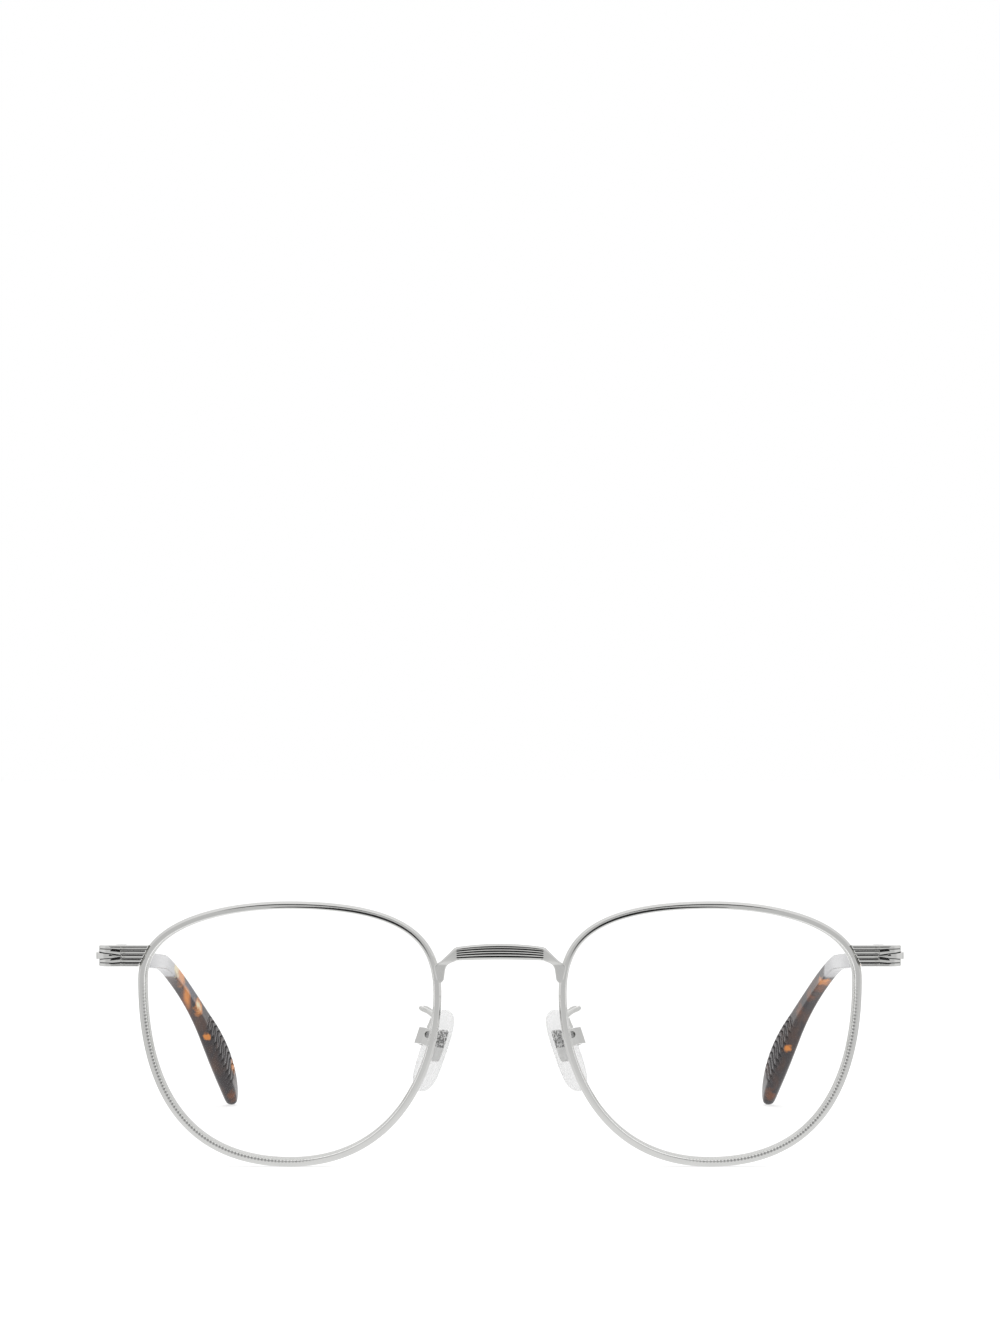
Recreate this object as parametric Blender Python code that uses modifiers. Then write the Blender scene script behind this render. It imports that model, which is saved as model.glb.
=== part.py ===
"""Round wire eyeglasses, modelled piece by piece.

Frame: +X is the wearer's left, the lenses face -Y, the temples run back along +Y, +Z is up.
The glasses stand open on the bottoms of the rims and the ends of the temples, at z = 0.
Sizes are in millimetres, and MM turns them into Blender's metres. The wearer's left half is
modelled, and the right half's pieces are its mirror images.
"""
import math

import bmesh
import bpy
from mathutils import Matrix, Vector

MM = 0.001
WELD = 0.001 * MM                # vertices closer than this are the same one
SEAM = 0.05                      # gap where two pieces are soldered, screwed or clipped together
FIT = 0.08                       # clearance between pieces that turn on each other
FRONT_Y = -66.99                 # moves the open glasses until they are centred on the origin

# Lens outline in the lens's own plane: t points to the temple, w points up.
OUTLINE_WIDTH = 52.75             # over the rim's outer edge
OUTLINE_HEIGHT = 46.4
TOP_T = -0.5
TEMPLE_W = 9.2
BOTTOM_T = 0.4
NASAL_W = 7.0
HANDLES = ((0.35, 0.82), (0.52, 0.78), (0.74, 0.42), (0.54, 0.84))   # shares of each quarter's size
LENS_CENTRE = Vector((36.52, 1.5, 22.94))
LENS_RADIUS = 130.0              # base curve
LENS_THICK = 1.2
LENS_EDGE = 1.32                 # edge of the lens faces, and the ridge that enters the rim's groove,
LENS_RIDGE = 0.87                # both measured in the rim's section
LEAN = math.radians(5.0)         # the tops of the lenses lean forward
WRAP = math.radians(4.0)         # their temple sides sweep back

# Rim: its section follows the curve of the lens, so its front leans outwards
RIM_INSET = 0.15
RIM_WALL = 1.25
RIM_DEPTH = 2.2
RIM_CHAMFER = 0.5                # bevel round its front, on the outside
RIM_EDGE = 0.3                   # its other corners
RIM_STEPS = 56
GROOVE_MOUTH = 0.62
GROOVE_INSET = 0.80
RIM_SPLIT = 0.1                  # gap between its two ends

# Bridge: heights of the grooved bar at the middle and at its ends
BAR_HALF = 7.5
BAR_TOP = (38.8, 38.2)
BAR_BOTTOM = (36.15, 35.95)
BRIDGE_THICK = 1.7
GROOVE_DEPTH = 0.22
GROOVE_SHARES = (0.24, 0.08, -0.08, -0.26)   # places of the four grooves, as shares of the height

# Endpiece, from the rim round the corner to the hinge
ENDPIECE_Z = 36.55
ENDPIECE_HEIGHT = 3.67
ENDPIECE_FRONT = 3.4
ENDPIECE_BACK = 5.3
ENDPIECE_INNER = 67.2
LIP_SLANT = -0.5                 # its inner end follows the rim
CORNER_RADIUS = 0.3              # inner radius of its corner
CORNER_THICK = 2.35
BAND_CROWN = 0.5                 # how far the centre band stands out at the corner

# Closing blocks behind the endpiece, and the screw that pulls them together
LOCK_CENTRE = (63.5, 6.75)
LOCK_SIZE = (2.9, 2.7)
LOCK_HEIGHTS = (1.6, 1.1)        # upper and lower block
LOCK_SCREW = (63.75, 6.95)
LOCK_SCREW_RADIUS = 0.55
LOCK_HEAD_RADIUS = 0.95

# Hinge and temple, in the hinge's frame: x to the side, y along the temple, z along the pin
HINGE = Vector((65.9, 10.5, 36.2))
SLOPE = math.radians(4.0)        # the temples run down towards the ears
KNUCKLE = 1.25
HINGE_HEIGHT = 3.0
TONGUE_HEIGHT = 1.0
PIN_RADIUS = 0.6
ARM_START = -0.85
ARM_X = 2.0
ARM_TOE = 0.0477                 # the temples close in by this much per millimetre
ARM_THICK = 1.3
ARM_SHOULDER = 51.6              # where the arm narrows to the core that runs inside the tip
TIP_START = 52.0
BEND_START = 77.5
BEND_END = Vector((-12.95, 125.56, -26.92))
BEND_DIRECTION = Vector((-0.08, 0.68, -0.77))
BEND_PULL = (16.0, 15.3)         # handle lengths of the bend's curve

# Nose pad, in the pad's frame: x along the screw, y towards the nose, z up the pad
PAD_AXIS = Vector((13.0, 8.5, 22.7))
PAD_SPLAY = math.radians(30.0)
PAD_TILT = math.radians(21.0)
PAD_SIZE = Vector((7.2, 2.5, 13.8))
PAD_CENTRE = Vector((0.15, 2.65, -2.1))
STEM_SIZE = Vector((1.3, 2.7, 1.8))
STEM_CENTRE = Vector((0.0, 1.05, 0.0))
PLATE_SIZE = Vector((3.8, 0.5, 5.4))
PLATE_CENTRE = Vector((-1.0, 2.6, -0.9))
BOX_SIZE = Vector((2.3, 1.5, 2.9))
BOX_CENTRE = Vector((0.0, -0.15, -0.5))
BOX_WALL = 0.4
PAD_PIN_RADIUS = 0.4
PAD_WIRE_RADIUS = 0.45
PAD_WIRE = ((11.2, 3.6, 25.9), (12.4, 5.4, 26.8), (13.6, 6.6, 27.3), (13.5, 7.6, 27.35),
            (12.4, 8.0, 27.0), (11.6, 7.7, 26.0), (11.8, 7.65, 25.1), (12.35, 8.0, 23.85))


# ------------------------------------------------------------------ frames

LENS_FRAME = (Matrix.Translation(LENS_CENTRE * MM) @ Matrix.Rotation(LEAN, 4, "X")
              @ Matrix.Rotation(WRAP, 4, "Z") @ Matrix.Rotation(math.pi / 2, 4, "X"))
HINGE_FRAME = Matrix.Translation(HINGE * MM) @ Matrix.Rotation(-SLOPE, 4, "X")
PAD_FRAME = (Matrix.Translation(PAD_AXIS * MM) @ Matrix.Rotation(-PAD_SPLAY, 4, "Z")
             @ Matrix.Rotation(math.pi / 2, 4, "Z") @ Matrix.Rotation(-PAD_TILT, 4, "X"))


# ------------------------------------------------------------------ building helpers

def clear_scene():
    for old in list(bpy.data.objects):
        bpy.data.objects.remove(old, do_unlink=True)
    for old in list(bpy.data.collections):
        bpy.data.collections.remove(old)


def new_collection(name):
    collection = bpy.data.collections.new(name)
    bpy.context.scene.collection.children.link(collection)
    return collection


def principled(name, colour, metallic, roughness, transmission=0.0):
    material = bpy.data.materials.new(name)
    material.use_nodes = True
    shader = material.node_tree.nodes["Principled BSDF"]
    shader.inputs["Base Color"].default_value = (*colour, 1.0)
    shader.inputs["Metallic"].default_value = metallic
    shader.inputs["Roughness"].default_value = roughness
    shader.inputs["Transmission Weight"].default_value = transmission
    material.diffuse_color = (*colour, 1.0)
    return material


clear_scene()
PARTS = new_collection("round_wire_eyeglasses")
CUTTERS = new_collection("cutters")


def add_object(name, data, material=None, frame=Matrix.Identity(4)):
    """A part when it has a material, and otherwise a cutter or a guide."""
    obj = bpy.data.objects.new(name, data)
    obj.matrix_world = frame
    if material is None:
        CUTTERS.objects.link(obj)
        obj.hide_render = True
        obj.display_type = "WIRE"
    else:
        PARTS.objects.link(obj)
        data.materials.append(material)
    return obj


def finish_mesh(name, body, material, frame):
    bmesh.ops.recalc_face_normals(body, faces=body.faces)
    mesh = bpy.data.meshes.new(name)
    body.to_mesh(mesh)
    body.free()
    mesh.shade_smooth()
    mesh.set_sharp_from_angle(angle=math.radians(35))
    return add_object(name, mesh, material, frame)


def loft(name, rings, material, frame=Matrix.Identity(4), open_end=False):
    """A solid through rings of equally many points, with a cap on its ends."""
    body = bmesh.new()
    loops = [[body.verts.new(Vector(point) * MM) for point in ring] for ring in rings]
    for near, far in zip(loops, loops[1:]):
        for i in range(len(near)):
            j = (i + 1) % len(near)
            body.faces.new((near[i], near[j], far[j], far[i]))
    body.faces.new(loops[0])
    if not open_end:
        body.faces.new(loops[-1])
    return finish_mesh(name, body, material, frame)


def block(name, size, centre, material=None, frame=Matrix.Identity(4)):
    body = bmesh.new()
    bmesh.ops.create_cube(body, size=1.0)
    bmesh.ops.scale(body, vec=Vector(size) * MM, verts=body.verts)
    bmesh.ops.translate(body, vec=Vector(centre) * MM, verts=body.verts)
    return finish_mesh(name, body, material, frame)


def turned(name, profile, material, frame, steps=20):
    """A solid turned about z, from a profile of (radius, z) that runs from its top to its bottom."""
    mesh = bpy.data.meshes.new(name)
    points = [(radius * MM, 0.0, z * MM) for radius, z in profile]
    mesh.from_pydata(points, [(i, i + 1) for i in range(len(points) - 1)], [])
    obj = add_object(name, mesh, material, frame)
    screw = obj.modifiers.new("turn", "SCREW")
    screw.steps = steps
    screw.render_steps = steps
    screw.use_merge_vertices = True
    screw.merge_threshold = WELD
    return obj


def hole(name, radius, length, frame):
    return turned(name, [(0, length / 2), (radius, length / 2), (radius, -length / 2), (0, -length / 2)],
                  None, frame, steps=16)


def to_mesh(curve, name, material):
    """The curve object as a mesh object with its caps welded on."""
    evaluated = curve.evaluated_get(bpy.context.evaluated_depsgraph_get())
    body = bmesh.new()
    body.from_mesh(bpy.data.meshes.new_from_object(evaluated))
    bmesh.ops.remove_doubles(body, verts=body.verts, dist=WELD)
    solid = finish_mesh(name, body, material, curve.matrix_world.copy())
    bpy.data.objects.remove(curve)
    return solid


def poly_curve(name, points, cyclic, flat=False, tilts=None):
    curve = bpy.data.curves.new(name, "CURVE")
    curve.dimensions = "2D" if flat else "3D"
    spline = curve.splines.new("POLY")
    spline.points.add(len(points) - 1)
    for target, point, tilt in zip(spline.points, points, tilts or [0.0] * len(points)):
        target.co = (*(Vector(point).to_3d() * MM), 1.0)
        target.tilt = tilt
    spline.use_cyclic_u = cyclic
    return curve


def plate(name, outline, thickness, material, frame):
    """A flat outline in x and y, with a thickness along z."""
    curve = poly_curve(name, outline, cyclic=True, flat=True)
    curve.fill_mode = "BOTH"
    curve.extrude = thickness / 2 * MM
    return to_mesh(add_object(name + "_outline", curve, None, frame), name, material)


def boolean(obj, other, operation="DIFFERENCE"):
    modifier = obj.modifiers.new(operation.lower(), "BOOLEAN")
    modifier.operation = operation
    modifier.solver = "EXACT"
    modifier.object = other


def mirrored(obj, name, material):
    """The object's mirror image in the plane x = 0, for the wearer's right."""
    evaluated = obj.evaluated_get(bpy.context.evaluated_depsgraph_get())
    mesh = bpy.data.meshes.new_from_object(evaluated)
    mesh.transform(Matrix.Scale(-1, 4, (1, 0, 0)) @ obj.matrix_world)
    mesh.flip_normals()
    mesh.materials.clear()
    return add_object(name, mesh, material)


# ------------------------------------------------------------------ lens outline

def outline_quarter(quarter):
    """Control points of one quarter of the outline: 0 top, 1 temple, 2 bottom, 3 nasal side."""
    extremes = (Vector((TOP_T, OUTLINE_HEIGHT / 2)), Vector((OUTLINE_WIDTH / 2, TEMPLE_W)),
                Vector((BOTTOM_T, -OUTLINE_HEIGHT / 2)), Vector((-OUTLINE_WIDTH / 2, NASAL_W)))
    start = extremes[quarter]
    end = extremes[(quarter + 1) % 4]
    across = Vector((end.x - start.x, 0.0))
    along = Vector((0.0, end.y - start.y))
    leaving, arriving = HANDLES[quarter]
    if quarter % 2 == 0:
        return start, start + across * leaving, end - along * arriving, end
    return start, start + along * leaving, end - across * arriving, end


def outline_place(u):
    """Point of the outline and the direction into the lens, at u, which counts quarters of the outline
    from its top through the temple side."""
    quarter = int(u % 4)
    s = u % 1
    p0, p1, p2, p3 = outline_quarter(quarter)
    point = p0 * (1 - s) ** 3 + p1 * 3 * s * (1 - s) ** 2 + p2 * 3 * s * s * (1 - s) + p3 * s ** 3
    tangent = (p1 - p0) * (1 - s) ** 2 + (p2 - p1) * 2 * s * (1 - s) + (p3 - p2) * s * s
    inward = Vector((-tangent.y, tangent.x)).normalized()
    if inward.dot(point) > 0:
        inward = -inward
    return point, inward


def rim_place(u):
    """Origin of the rim's section in the lens's frame, the direction into the lens, and the angle at
    which the section leans with the lens sphere."""
    point, inward = outline_place(u)
    origin = point + inward * RIM_INSET
    depth = math.sqrt(LENS_RADIUS ** 2 - origin.length_squared)
    return Vector((origin.x, origin.y, depth - LENS_RADIUS)), inward, math.atan(-origin.dot(inward) / depth)


def section_point(u, into, forward):
    """Point of the rim's section in the lens's frame."""
    origin, inward, lean = rim_place(u)
    across = inward.to_3d()
    ahead = Vector((0, 0, 1))
    return (origin + across * (into * math.cos(lean) - forward * math.sin(lean))
            + ahead * (into * math.sin(lean) + forward * math.cos(lean)))


def split_position():
    """Where the rim is split, at the endpiece's height on the temple side."""
    height = (ENDPIECE_Z - LENS_CENTRE.z) / math.cos(LEAN)
    low, high = 0.0, 1.0
    for _ in range(30):
        middle = (low + high) / 2
        if outline_place(middle)[0].y > height:
            low = middle
        else:
            high = middle
    return low


def outline_stations():
    """Evenly counted positions round the outline, from one end of the split rim to the other."""
    split = split_position()
    speed = (outline_place(split + 0.001)[0] - outline_place(split)[0]).length / 0.001
    half_gap = RIM_SPLIT / 2 / speed
    step = (4 - 2 * half_gap) / RIM_STEPS
    return [split + half_gap + step * i for i in range(RIM_STEPS + 1)]


# ------------------------------------------------------------------ front

def swept_round_outline(name, section, cyclic, material):
    """A section of (in, forward) points, carried round the outline and leaning with the lens."""
    stations = outline_stations()
    places = [rim_place(u) for u in (stations[:-1] if cyclic else stations)]
    path = [origin for origin, inward, lean in places]
    tilts = [-lean for origin, inward, lean in places]
    profile = poly_curve(name + "_section", section, cyclic=True, flat=True)
    guide = add_object(name + "_section", profile)
    curve = poly_curve(name, path, cyclic=cyclic, tilts=tilts)
    curve.twist_mode = "Z_UP"
    curve.bevel_mode = "OBJECT"
    curve.bevel_object = guide
    curve.use_fill_caps = not cyclic
    solid = to_mesh(add_object(name + "_path", curve, None, LENS_FRAME), name, material)
    bpy.data.objects.remove(guide)
    return solid


def make_rim(metal):
    half = RIM_DEPTH / 2
    section = [(RIM_CHAMFER, half), (RIM_WALL - RIM_EDGE, half), (RIM_WALL, half - RIM_EDGE),
               (RIM_WALL, GROOVE_MOUTH), (GROOVE_INSET, 0.0), (RIM_WALL, -GROOVE_MOUTH),
               (RIM_WALL, RIM_EDGE - half), (RIM_WALL - RIM_EDGE, -half), (RIM_EDGE, -half),
               (0.0, RIM_EDGE - half), (0.0, half - RIM_CHAMFER)]
    return swept_round_outline("left_rim", section, False, metal)


def make_rim_envelope():
    """The rim's outer shape, a little larger, which its neighbours are cut with."""
    half = RIM_DEPTH / 2 + SEAM
    section = [(-SEAM, half), (RIM_WALL + SEAM, half), (RIM_WALL + SEAM, -half), (-SEAM, -half)]
    return swept_round_outline("rim_envelope", section, True, None)


def make_lens(clear):
    """A lens of even thickness, whose faces are the rim's sphere moved forward and back."""
    rings = []
    half = LENS_THICK / 2
    for into, scale, forward in ((LENS_EDGE, 0.35, half), (LENS_EDGE, 0.7, half), (LENS_EDGE, 1.0, half),
                                 (LENS_RIDGE, 1.0, 0), (LENS_EDGE, 1.0, -half), (LENS_EDGE, 0.7, -half),
                                 (LENS_EDGE, 0.35, -half)):
        ring = []
        for u in outline_stations():
            edge = section_point(u, into, forward).xy * scale
            radius = LENS_RADIUS + forward
            ring.append((edge.x, edge.y, math.sqrt(radius ** 2 - edge.length_squared) - LENS_RADIUS))
        rings.append(ring)
    return loft("left_lens", rings, clear, LENS_FRAME)


def ribbed_section(height, thick, grooves, depth, crowns=(0, 0, 0, 0, 0)):
    """End view of a ribbed bar as (out, up) points, with its flat back at out = 0.

    The four grooves run at the given heights, and the five ribs between them stand out by crowns.
    """
    top = height / 2
    edge = min(0.25, height / 8)
    half = min(0.12, height / 24)
    points = [(0, -top + edge), (0, top - edge), (edge, top), (thick + crowns[0] - edge, top),
              (thick + crowns[0], top - edge)]
    for i, middle in enumerate(grooves):
        points += [(thick + crowns[i], middle + half), (thick + min(crowns[i:i + 2]) - depth, middle),
                   (thick + crowns[i + 1], middle - half)]
    points += [(thick + crowns[4], -top + edge), (thick + crowns[4] - edge, -top), (edge, -top)]
    return points


def make_bridge(metal):
    # Upper and lower point (x, z) of the plain end, from its tail along the rim to the bar
    end = (((10.9, 32.6), (10.1, 32.1)), ((11.05, 33.1), (9.7, 32.6)), ((11.3, 33.9), (9.55, 33.6)),
           ((11.5, 34.7), (9.4, 34.5)), ((11.3, 35.2), (9.1, 35.05)), ((10.35, 35.65), (8.6, 35.45)),
           ((9.0, 36.9), (8.0, 35.7)), ((7.95, 37.98), (7.6, 35.88)))
    stations = [(Vector(upper), Vector(lower), 0.0) for upper, lower in end]
    for share, depth in ((1.0, 0.0), (0.975, GROOVE_DEPTH), (0.7, GROOVE_DEPTH), (0.35, GROOVE_DEPTH),
                         (0.0, GROOVE_DEPTH)):
        x = BAR_HALF * share
        top = BAR_TOP[0] + (BAR_TOP[1] - BAR_TOP[0]) * share ** 2
        bottom = BAR_BOTTOM[0] + (BAR_BOTTOM[1] - BAR_BOTTOM[0]) * share ** 2
        stations.append((Vector((x, top)), Vector((x, bottom)), depth))
    rings = []
    for upper, lower, depth in stations:
        middle = (upper + lower) / 2
        rise = (upper - lower).normalized()
        height = (upper - lower).length
        back = 0.15 + BRIDGE_THICK / 2 + 1.15 * min(1.0, middle.x / 10.0) ** 2
        grooves = [height * share for share in GROOVE_SHARES]
        section = ribbed_section(height, BRIDGE_THICK, grooves, depth)
        rings.append([(middle.x + rise.x * up, back - out, middle.y + rise.y * up) for out, up in section])
    half = loft("bridge", rings, metal, open_end=True)
    mirror = half.modifiers.new("other half", "MIRROR")
    mirror.merge_threshold = WELD
    return half


def make_endpiece(metal):
    thick = ENDPIECE_BACK - ENDPIECE_FRONT
    even = [ENDPIECE_HEIGHT * share for share in (0.3, 0.1, -0.1, -0.3)]
    flat = (0, 0, 0, 0, 0)
    sunk = (-0.15, -0.15, -0.15, -0.15, -0.15)
    # x, slant of the end, thickness, grooves, their depth, and how far the ribs stand out
    front = ((61.55, LIP_SLANT, thick - 0.15, even, 0.05, flat), (61.9, LIP_SLANT, thick, even, 0.22, flat),
             (63.4, LIP_SLANT / 2, thick, even, 0.22, flat), (64.8, 0, thick, even, 0.22, flat),
             (64.95, 0, thick, even, 0.1, sunk), (65.15, 0, thick, even, 0.1, sunk),
             (65.3, 0, thick, even, 0.2, flat), (65.5, 0, thick, (1.1, 0.15, -0.15, -1.1), 0.2, flat))
    rings = []
    for x, slant, depth, grooves, groove, crowns in front:
        section = ribbed_section(ENDPIECE_HEIGHT, depth, grooves, groove, crowns)
        rings.append([(x + slant * up, ENDPIECE_BACK - out, ENDPIECE_Z + up) for out, up in section])

    centre = Vector((ENDPIECE_INNER - CORNER_RADIUS, ENDPIECE_BACK + CORNER_RADIUS))
    for share in (0.0, 0.33, 0.67, 1.0):
        angle = share * math.pi / 2
        band = 0.35 + 0.37 * share
        crown = BAND_CROWN * (0.3 + 0.7 * share)
        section = ribbed_section(ENDPIECE_HEIGHT, thick + (CORNER_THICK - thick) * share,
                                 (1.2, band, -band, -1.2), 0.15, (0, 0, crown, 0, 0))
        rings.append([(centre.x + math.sin(angle) * (CORNER_RADIUS + out),
                       centre.y - math.cos(angle) * (CORNER_RADIUS + out), ENDPIECE_Z + up)
                      for out, up in section])

    arm_thick = HINGE.x + ARM_X + ARM_THICK / 2 - ENDPIECE_INNER
    for y, thickness, crown in ((7.4, 1.9, 0.3), (HINGE.y + ARM_START - 0.1, arm_thick, 0.0)):
        drop = (y - centre.y) * math.tan(SLOPE)
        section = ribbed_section(ENDPIECE_HEIGHT, thickness, (1.2, 0.72, -0.72, -1.2), crown / 3,
                                 (0, 0, crown, 0, 0))
        rings.append([(ENDPIECE_INNER + out, y + up * math.tan(SLOPE), ENDPIECE_Z - drop + up)
                      for out, up in section])
    return loft("left_endpiece", rings, metal)


def make_rim_lock(metal, steel):
    """The two closing blocks behind the endpiece, and the screw that pulls them together."""
    high, low = LOCK_HEIGHTS
    split = RIM_SPLIT / 2
    upper_z = ENDPIECE_Z + split + high / 2
    lower_z = ENDPIECE_Z - split - low / 2
    upper = block("left_rim_lock_upper", (*LOCK_SIZE, high), (*LOCK_CENTRE, upper_z), metal)
    lower = block("left_rim_lock_lower", (*LOCK_SIZE, low), (*LOCK_CENTRE, lower_z), metal)
    frame = Matrix.Translation(Vector((*LOCK_SCREW, ENDPIECE_Z)) * MM)
    bore = hole("rim_screw_hole", LOCK_SCREW_RADIUS + SEAM, 6.0, frame)
    head = -split - low - SEAM
    end = split + high
    shank = LOCK_SCREW_RADIUS
    wide = LOCK_HEAD_RADIUS
    profile = [(0, end), (shank - 0.1, end), (shank, end - 0.1), (shank, head), (wide, head),
               (wide, head - 0.35), (wide - 0.15, head - 0.5), (0, head - 0.5)]
    screw = turned("left_rim_screw", profile, steel, frame)
    boolean(screw, block("rim_screw_slot", (3.0, 0.25, 0.5), (0, 0, head - 0.5), None, frame))
    for piece in (upper, lower):
        boolean(piece, bore)
    return [upper, lower, screw]


# ------------------------------------------------------------------ hinge and temple

def knuckle_arc(start, end, steps=10):
    angles = [math.radians(start + (end - start) * i / steps) for i in range(steps + 1)]
    return [(KNUCKLE * math.cos(a), KNUCKLE * math.sin(a)) for a in angles]


def make_hinge(metal, steel):
    fork_outline = [(-0.4, -1.7), (-0.4, -4.3), (KNUCKLE, -4.3)] + knuckle_arc(0, 180)
    fork = plate("left_hinge_fork", fork_outline, HINGE_HEIGHT, metal, HINGE_FRAME)
    slot = block("fork_slot", (4.0, 4.0, TONGUE_HEIGHT + 2 * FIT), (0, 2.0 - KNUCKLE - 2 * FIT, 0), None,
                 HINGE_FRAME)
    bore = hole("hinge_hole", PIN_RADIUS + FIT, HINGE_HEIGHT + 1, HINGE_FRAME)
    boolean(fork, slot)
    boolean(fork, bore)

    arm_side = ARM_X - ARM_THICK / 2 - SEAM - ARM_TOE * 6.9
    tongue_outline = knuckle_arc(180, 360) + [(arm_side, 6.0), (-0.3, 6.0)]
    tongue = plate("left_hinge_tongue", tongue_outline, TONGUE_HEIGHT, metal, HINGE_FRAME)
    boolean(tongue, bore)

    top = HINGE_HEIGHT / 2
    head = top + SEAM
    profile = [(0, head + 0.4), (0.95, head + 0.4), (1.1, head + 0.25), (1.1, head), (PIN_RADIUS, head),
               (PIN_RADIUS, -top), (PIN_RADIUS - 0.1, -top - 0.1), (0, -top - 0.1)]
    pin = turned("left_hinge_screw", profile, steel, HINGE_FRAME)
    boolean(pin, block("hinge_screw_slot", (3.0, 0.28, 0.4), (0, 0, head + 0.4), None, HINGE_FRAME))
    return fork, tongue, pin


def arm_middle(y):
    return Vector((ARM_X - ARM_TOE * (y - ARM_START), y, 0.0))


def bend_point(s):
    """Point and direction on the curve of the ear bend, for s from 0 to 1."""
    p0 = arm_middle(BEND_START)
    p1 = p0 + Vector((-ARM_TOE, 1.0, 0.0)) * BEND_PULL[0]
    p3 = BEND_END
    p2 = p3 - BEND_DIRECTION.normalized() * BEND_PULL[1]
    point = p0 * (1 - s) ** 3 + p1 * 3 * s * (1 - s) ** 2 + p2 * 3 * s * s * (1 - s) + p3 * s ** 3
    direction = (p1 - p0) * (1 - s) ** 2 + (p2 - p1) * 2 * s * (1 - s) + (p3 - p2) * s * s
    return point, direction.normalized()


def cross_section(point, direction, thick, height, corner, steps=2):
    """Rounded rectangle across a direction, its thickness sideways and its height upwards."""
    side = Vector((direction.y, -direction.x, 0.0)).normalized()
    rise = side.cross(direction)
    ring = []
    for sign_x, sign_z, turn in ((1, 1, 0), (-1, 1, 90), (-1, -1, 180), (1, -1, 270)):
        middle = (side * (sign_x * (thick / 2 - corner)) + rise * (sign_z * (height / 2 - corner)))
        for i in range(steps):
            angle = math.radians(turn + 90 * i / (steps - 1))
            offset = side * math.cos(angle) + rise * math.sin(angle)
            ring.append(point + middle + offset * corner)
    return ring


def straight(y):
    return arm_middle(y), Vector((-ARM_TOE, 1.0, 0.0)).normalized()


def core_stations(allowance):
    """Place, thickness and height of the core wire in the tip, or of its bore with an allowance."""
    stations = [(straight(TIP_START - SEAM), 1.0, 1.6), (straight(75.0), 1.0, 1.6),
                (straight(BEND_START), 1.0, 1.5)]
    for s in (0.1, 0.2, 0.3, 0.4, 0.5, 0.6, 0.7):
        stations.append((bend_point(s), 1.0 - 0.2 * s, 1.5 - 0.3 * s))
    return [(place, thick + 2 * allowance, height + 2 * allowance) for place, thick, height in stations]


def make_temple_arm(metal):
    rings = []
    for y, height in ((ARM_START, 3.5), (10.0, 3.1), (25.0, 2.5), (45.0, 2.3), (ARM_SHOULDER, 2.1)):
        rings.append(cross_section(*straight(y), ARM_THICK, height, 0.25))
    for (point, direction), thick, height in core_stations(0.0):
        rings.append(cross_section(point, direction, thick, height, 0.25))
    return loft("left_temple_arm", rings, metal, HINGE_FRAME)


def make_temple_tip(acetate):
    """The ear tip: down its bore to the bottom, and back over its outside to the paddle's end."""
    corner = 0.25 + SEAM
    bore = core_stations(2 * SEAM)
    last_point, last_direction = bend_point(0.73)
    rings = [cross_section(last_point, last_direction, 1.0, 1.3, corner, steps=3)]
    for (point, direction), thick, height in reversed(bore[1:]):
        rings.append(cross_section(point, direction, thick, height, corner, steps=3))
    start, ahead = straight(TIP_START)
    rings.append(cross_section(start, ahead, *bore[0][1:], corner, steps=3))
    outside = [(straight(TIP_START), 1.9, 2.5), (straight(TIP_START + 0.4), 2.1, 2.7),
               (straight(68.0), 2.1, 2.7), (straight(BEND_START), 2.2, 2.6)]
    for s, thick, height in ((0.14, 2.2, 2.5), (0.28, 2.3, 2.5), (0.34, 2.3, 2.6), (0.4, 2.4, 2.7),
                             (0.5, 2.6, 3.2), (0.58, 2.8, 4.1), (0.66, 3.0, 5.3), (0.74, 3.1, 5.9),
                             (0.82, 3.1, 5.7), (0.89, 3.0, 4.9), (0.95, 2.7, 3.9), (0.985, 2.3, 2.9),
                             (1.0, 1.7, 1.9)):
        outside.append((bend_point(s), thick, height))
    for (point, direction), thick, height in outside:
        rings.append(cross_section(point, direction, thick, height, 0.3 * thick, steps=3))
    return loft("left_temple_tip", rings, acetate, HINGE_FRAME)


# ------------------------------------------------------------------ nose pads

def along_pad_screw(offset=0.0):
    """Frame at the pad's axis whose z runs along the screw, towards the glasses' front."""
    away = Matrix.Translation(Vector((-offset * MM, 0, 0)))
    return PAD_FRAME @ away @ Matrix.Rotation(-math.pi / 2, 4, "Y")


def make_pad_arm(metal, envelope):
    curve = bpy.data.curves.new("left_pad_arm", "CURVE")
    curve.dimensions = "3D"
    curve.resolution_u = 3
    curve.bevel_depth = PAD_WIRE_RADIUS * MM
    curve.bevel_resolution = 2
    curve.use_fill_caps = True
    spline = curve.splines.new("BEZIER")
    spline.bezier_points.add(len(PAD_WIRE) - 1)
    for target, point in zip(spline.bezier_points, PAD_WIRE):
        target.co = Vector(point) * MM
        target.handle_left_type = "AUTO"
        target.handle_right_type = "AUTO"
    wire = to_mesh(add_object("pad_arm_path", curve), "left_pad_arm", metal)
    boolean(wire, envelope)
    return wire


def make_pad_box(metal):
    box = block("left_pad_box", BOX_SIZE, BOX_CENTRE, metal, PAD_FRAME)
    inner = Vector((BOX_SIZE.x - 2 * BOX_WALL, BOX_SIZE.y, BOX_SIZE.z + 1))
    boolean(box, block("pad_box_channel", inner, BOX_CENTRE + Vector((0, BOX_WALL, 0)), None, PAD_FRAME))
    boolean(box, hole("pad_box_hole", PAD_PIN_RADIUS + SEAM, BOX_SIZE.x + 1, along_pad_screw()))
    return box


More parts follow.
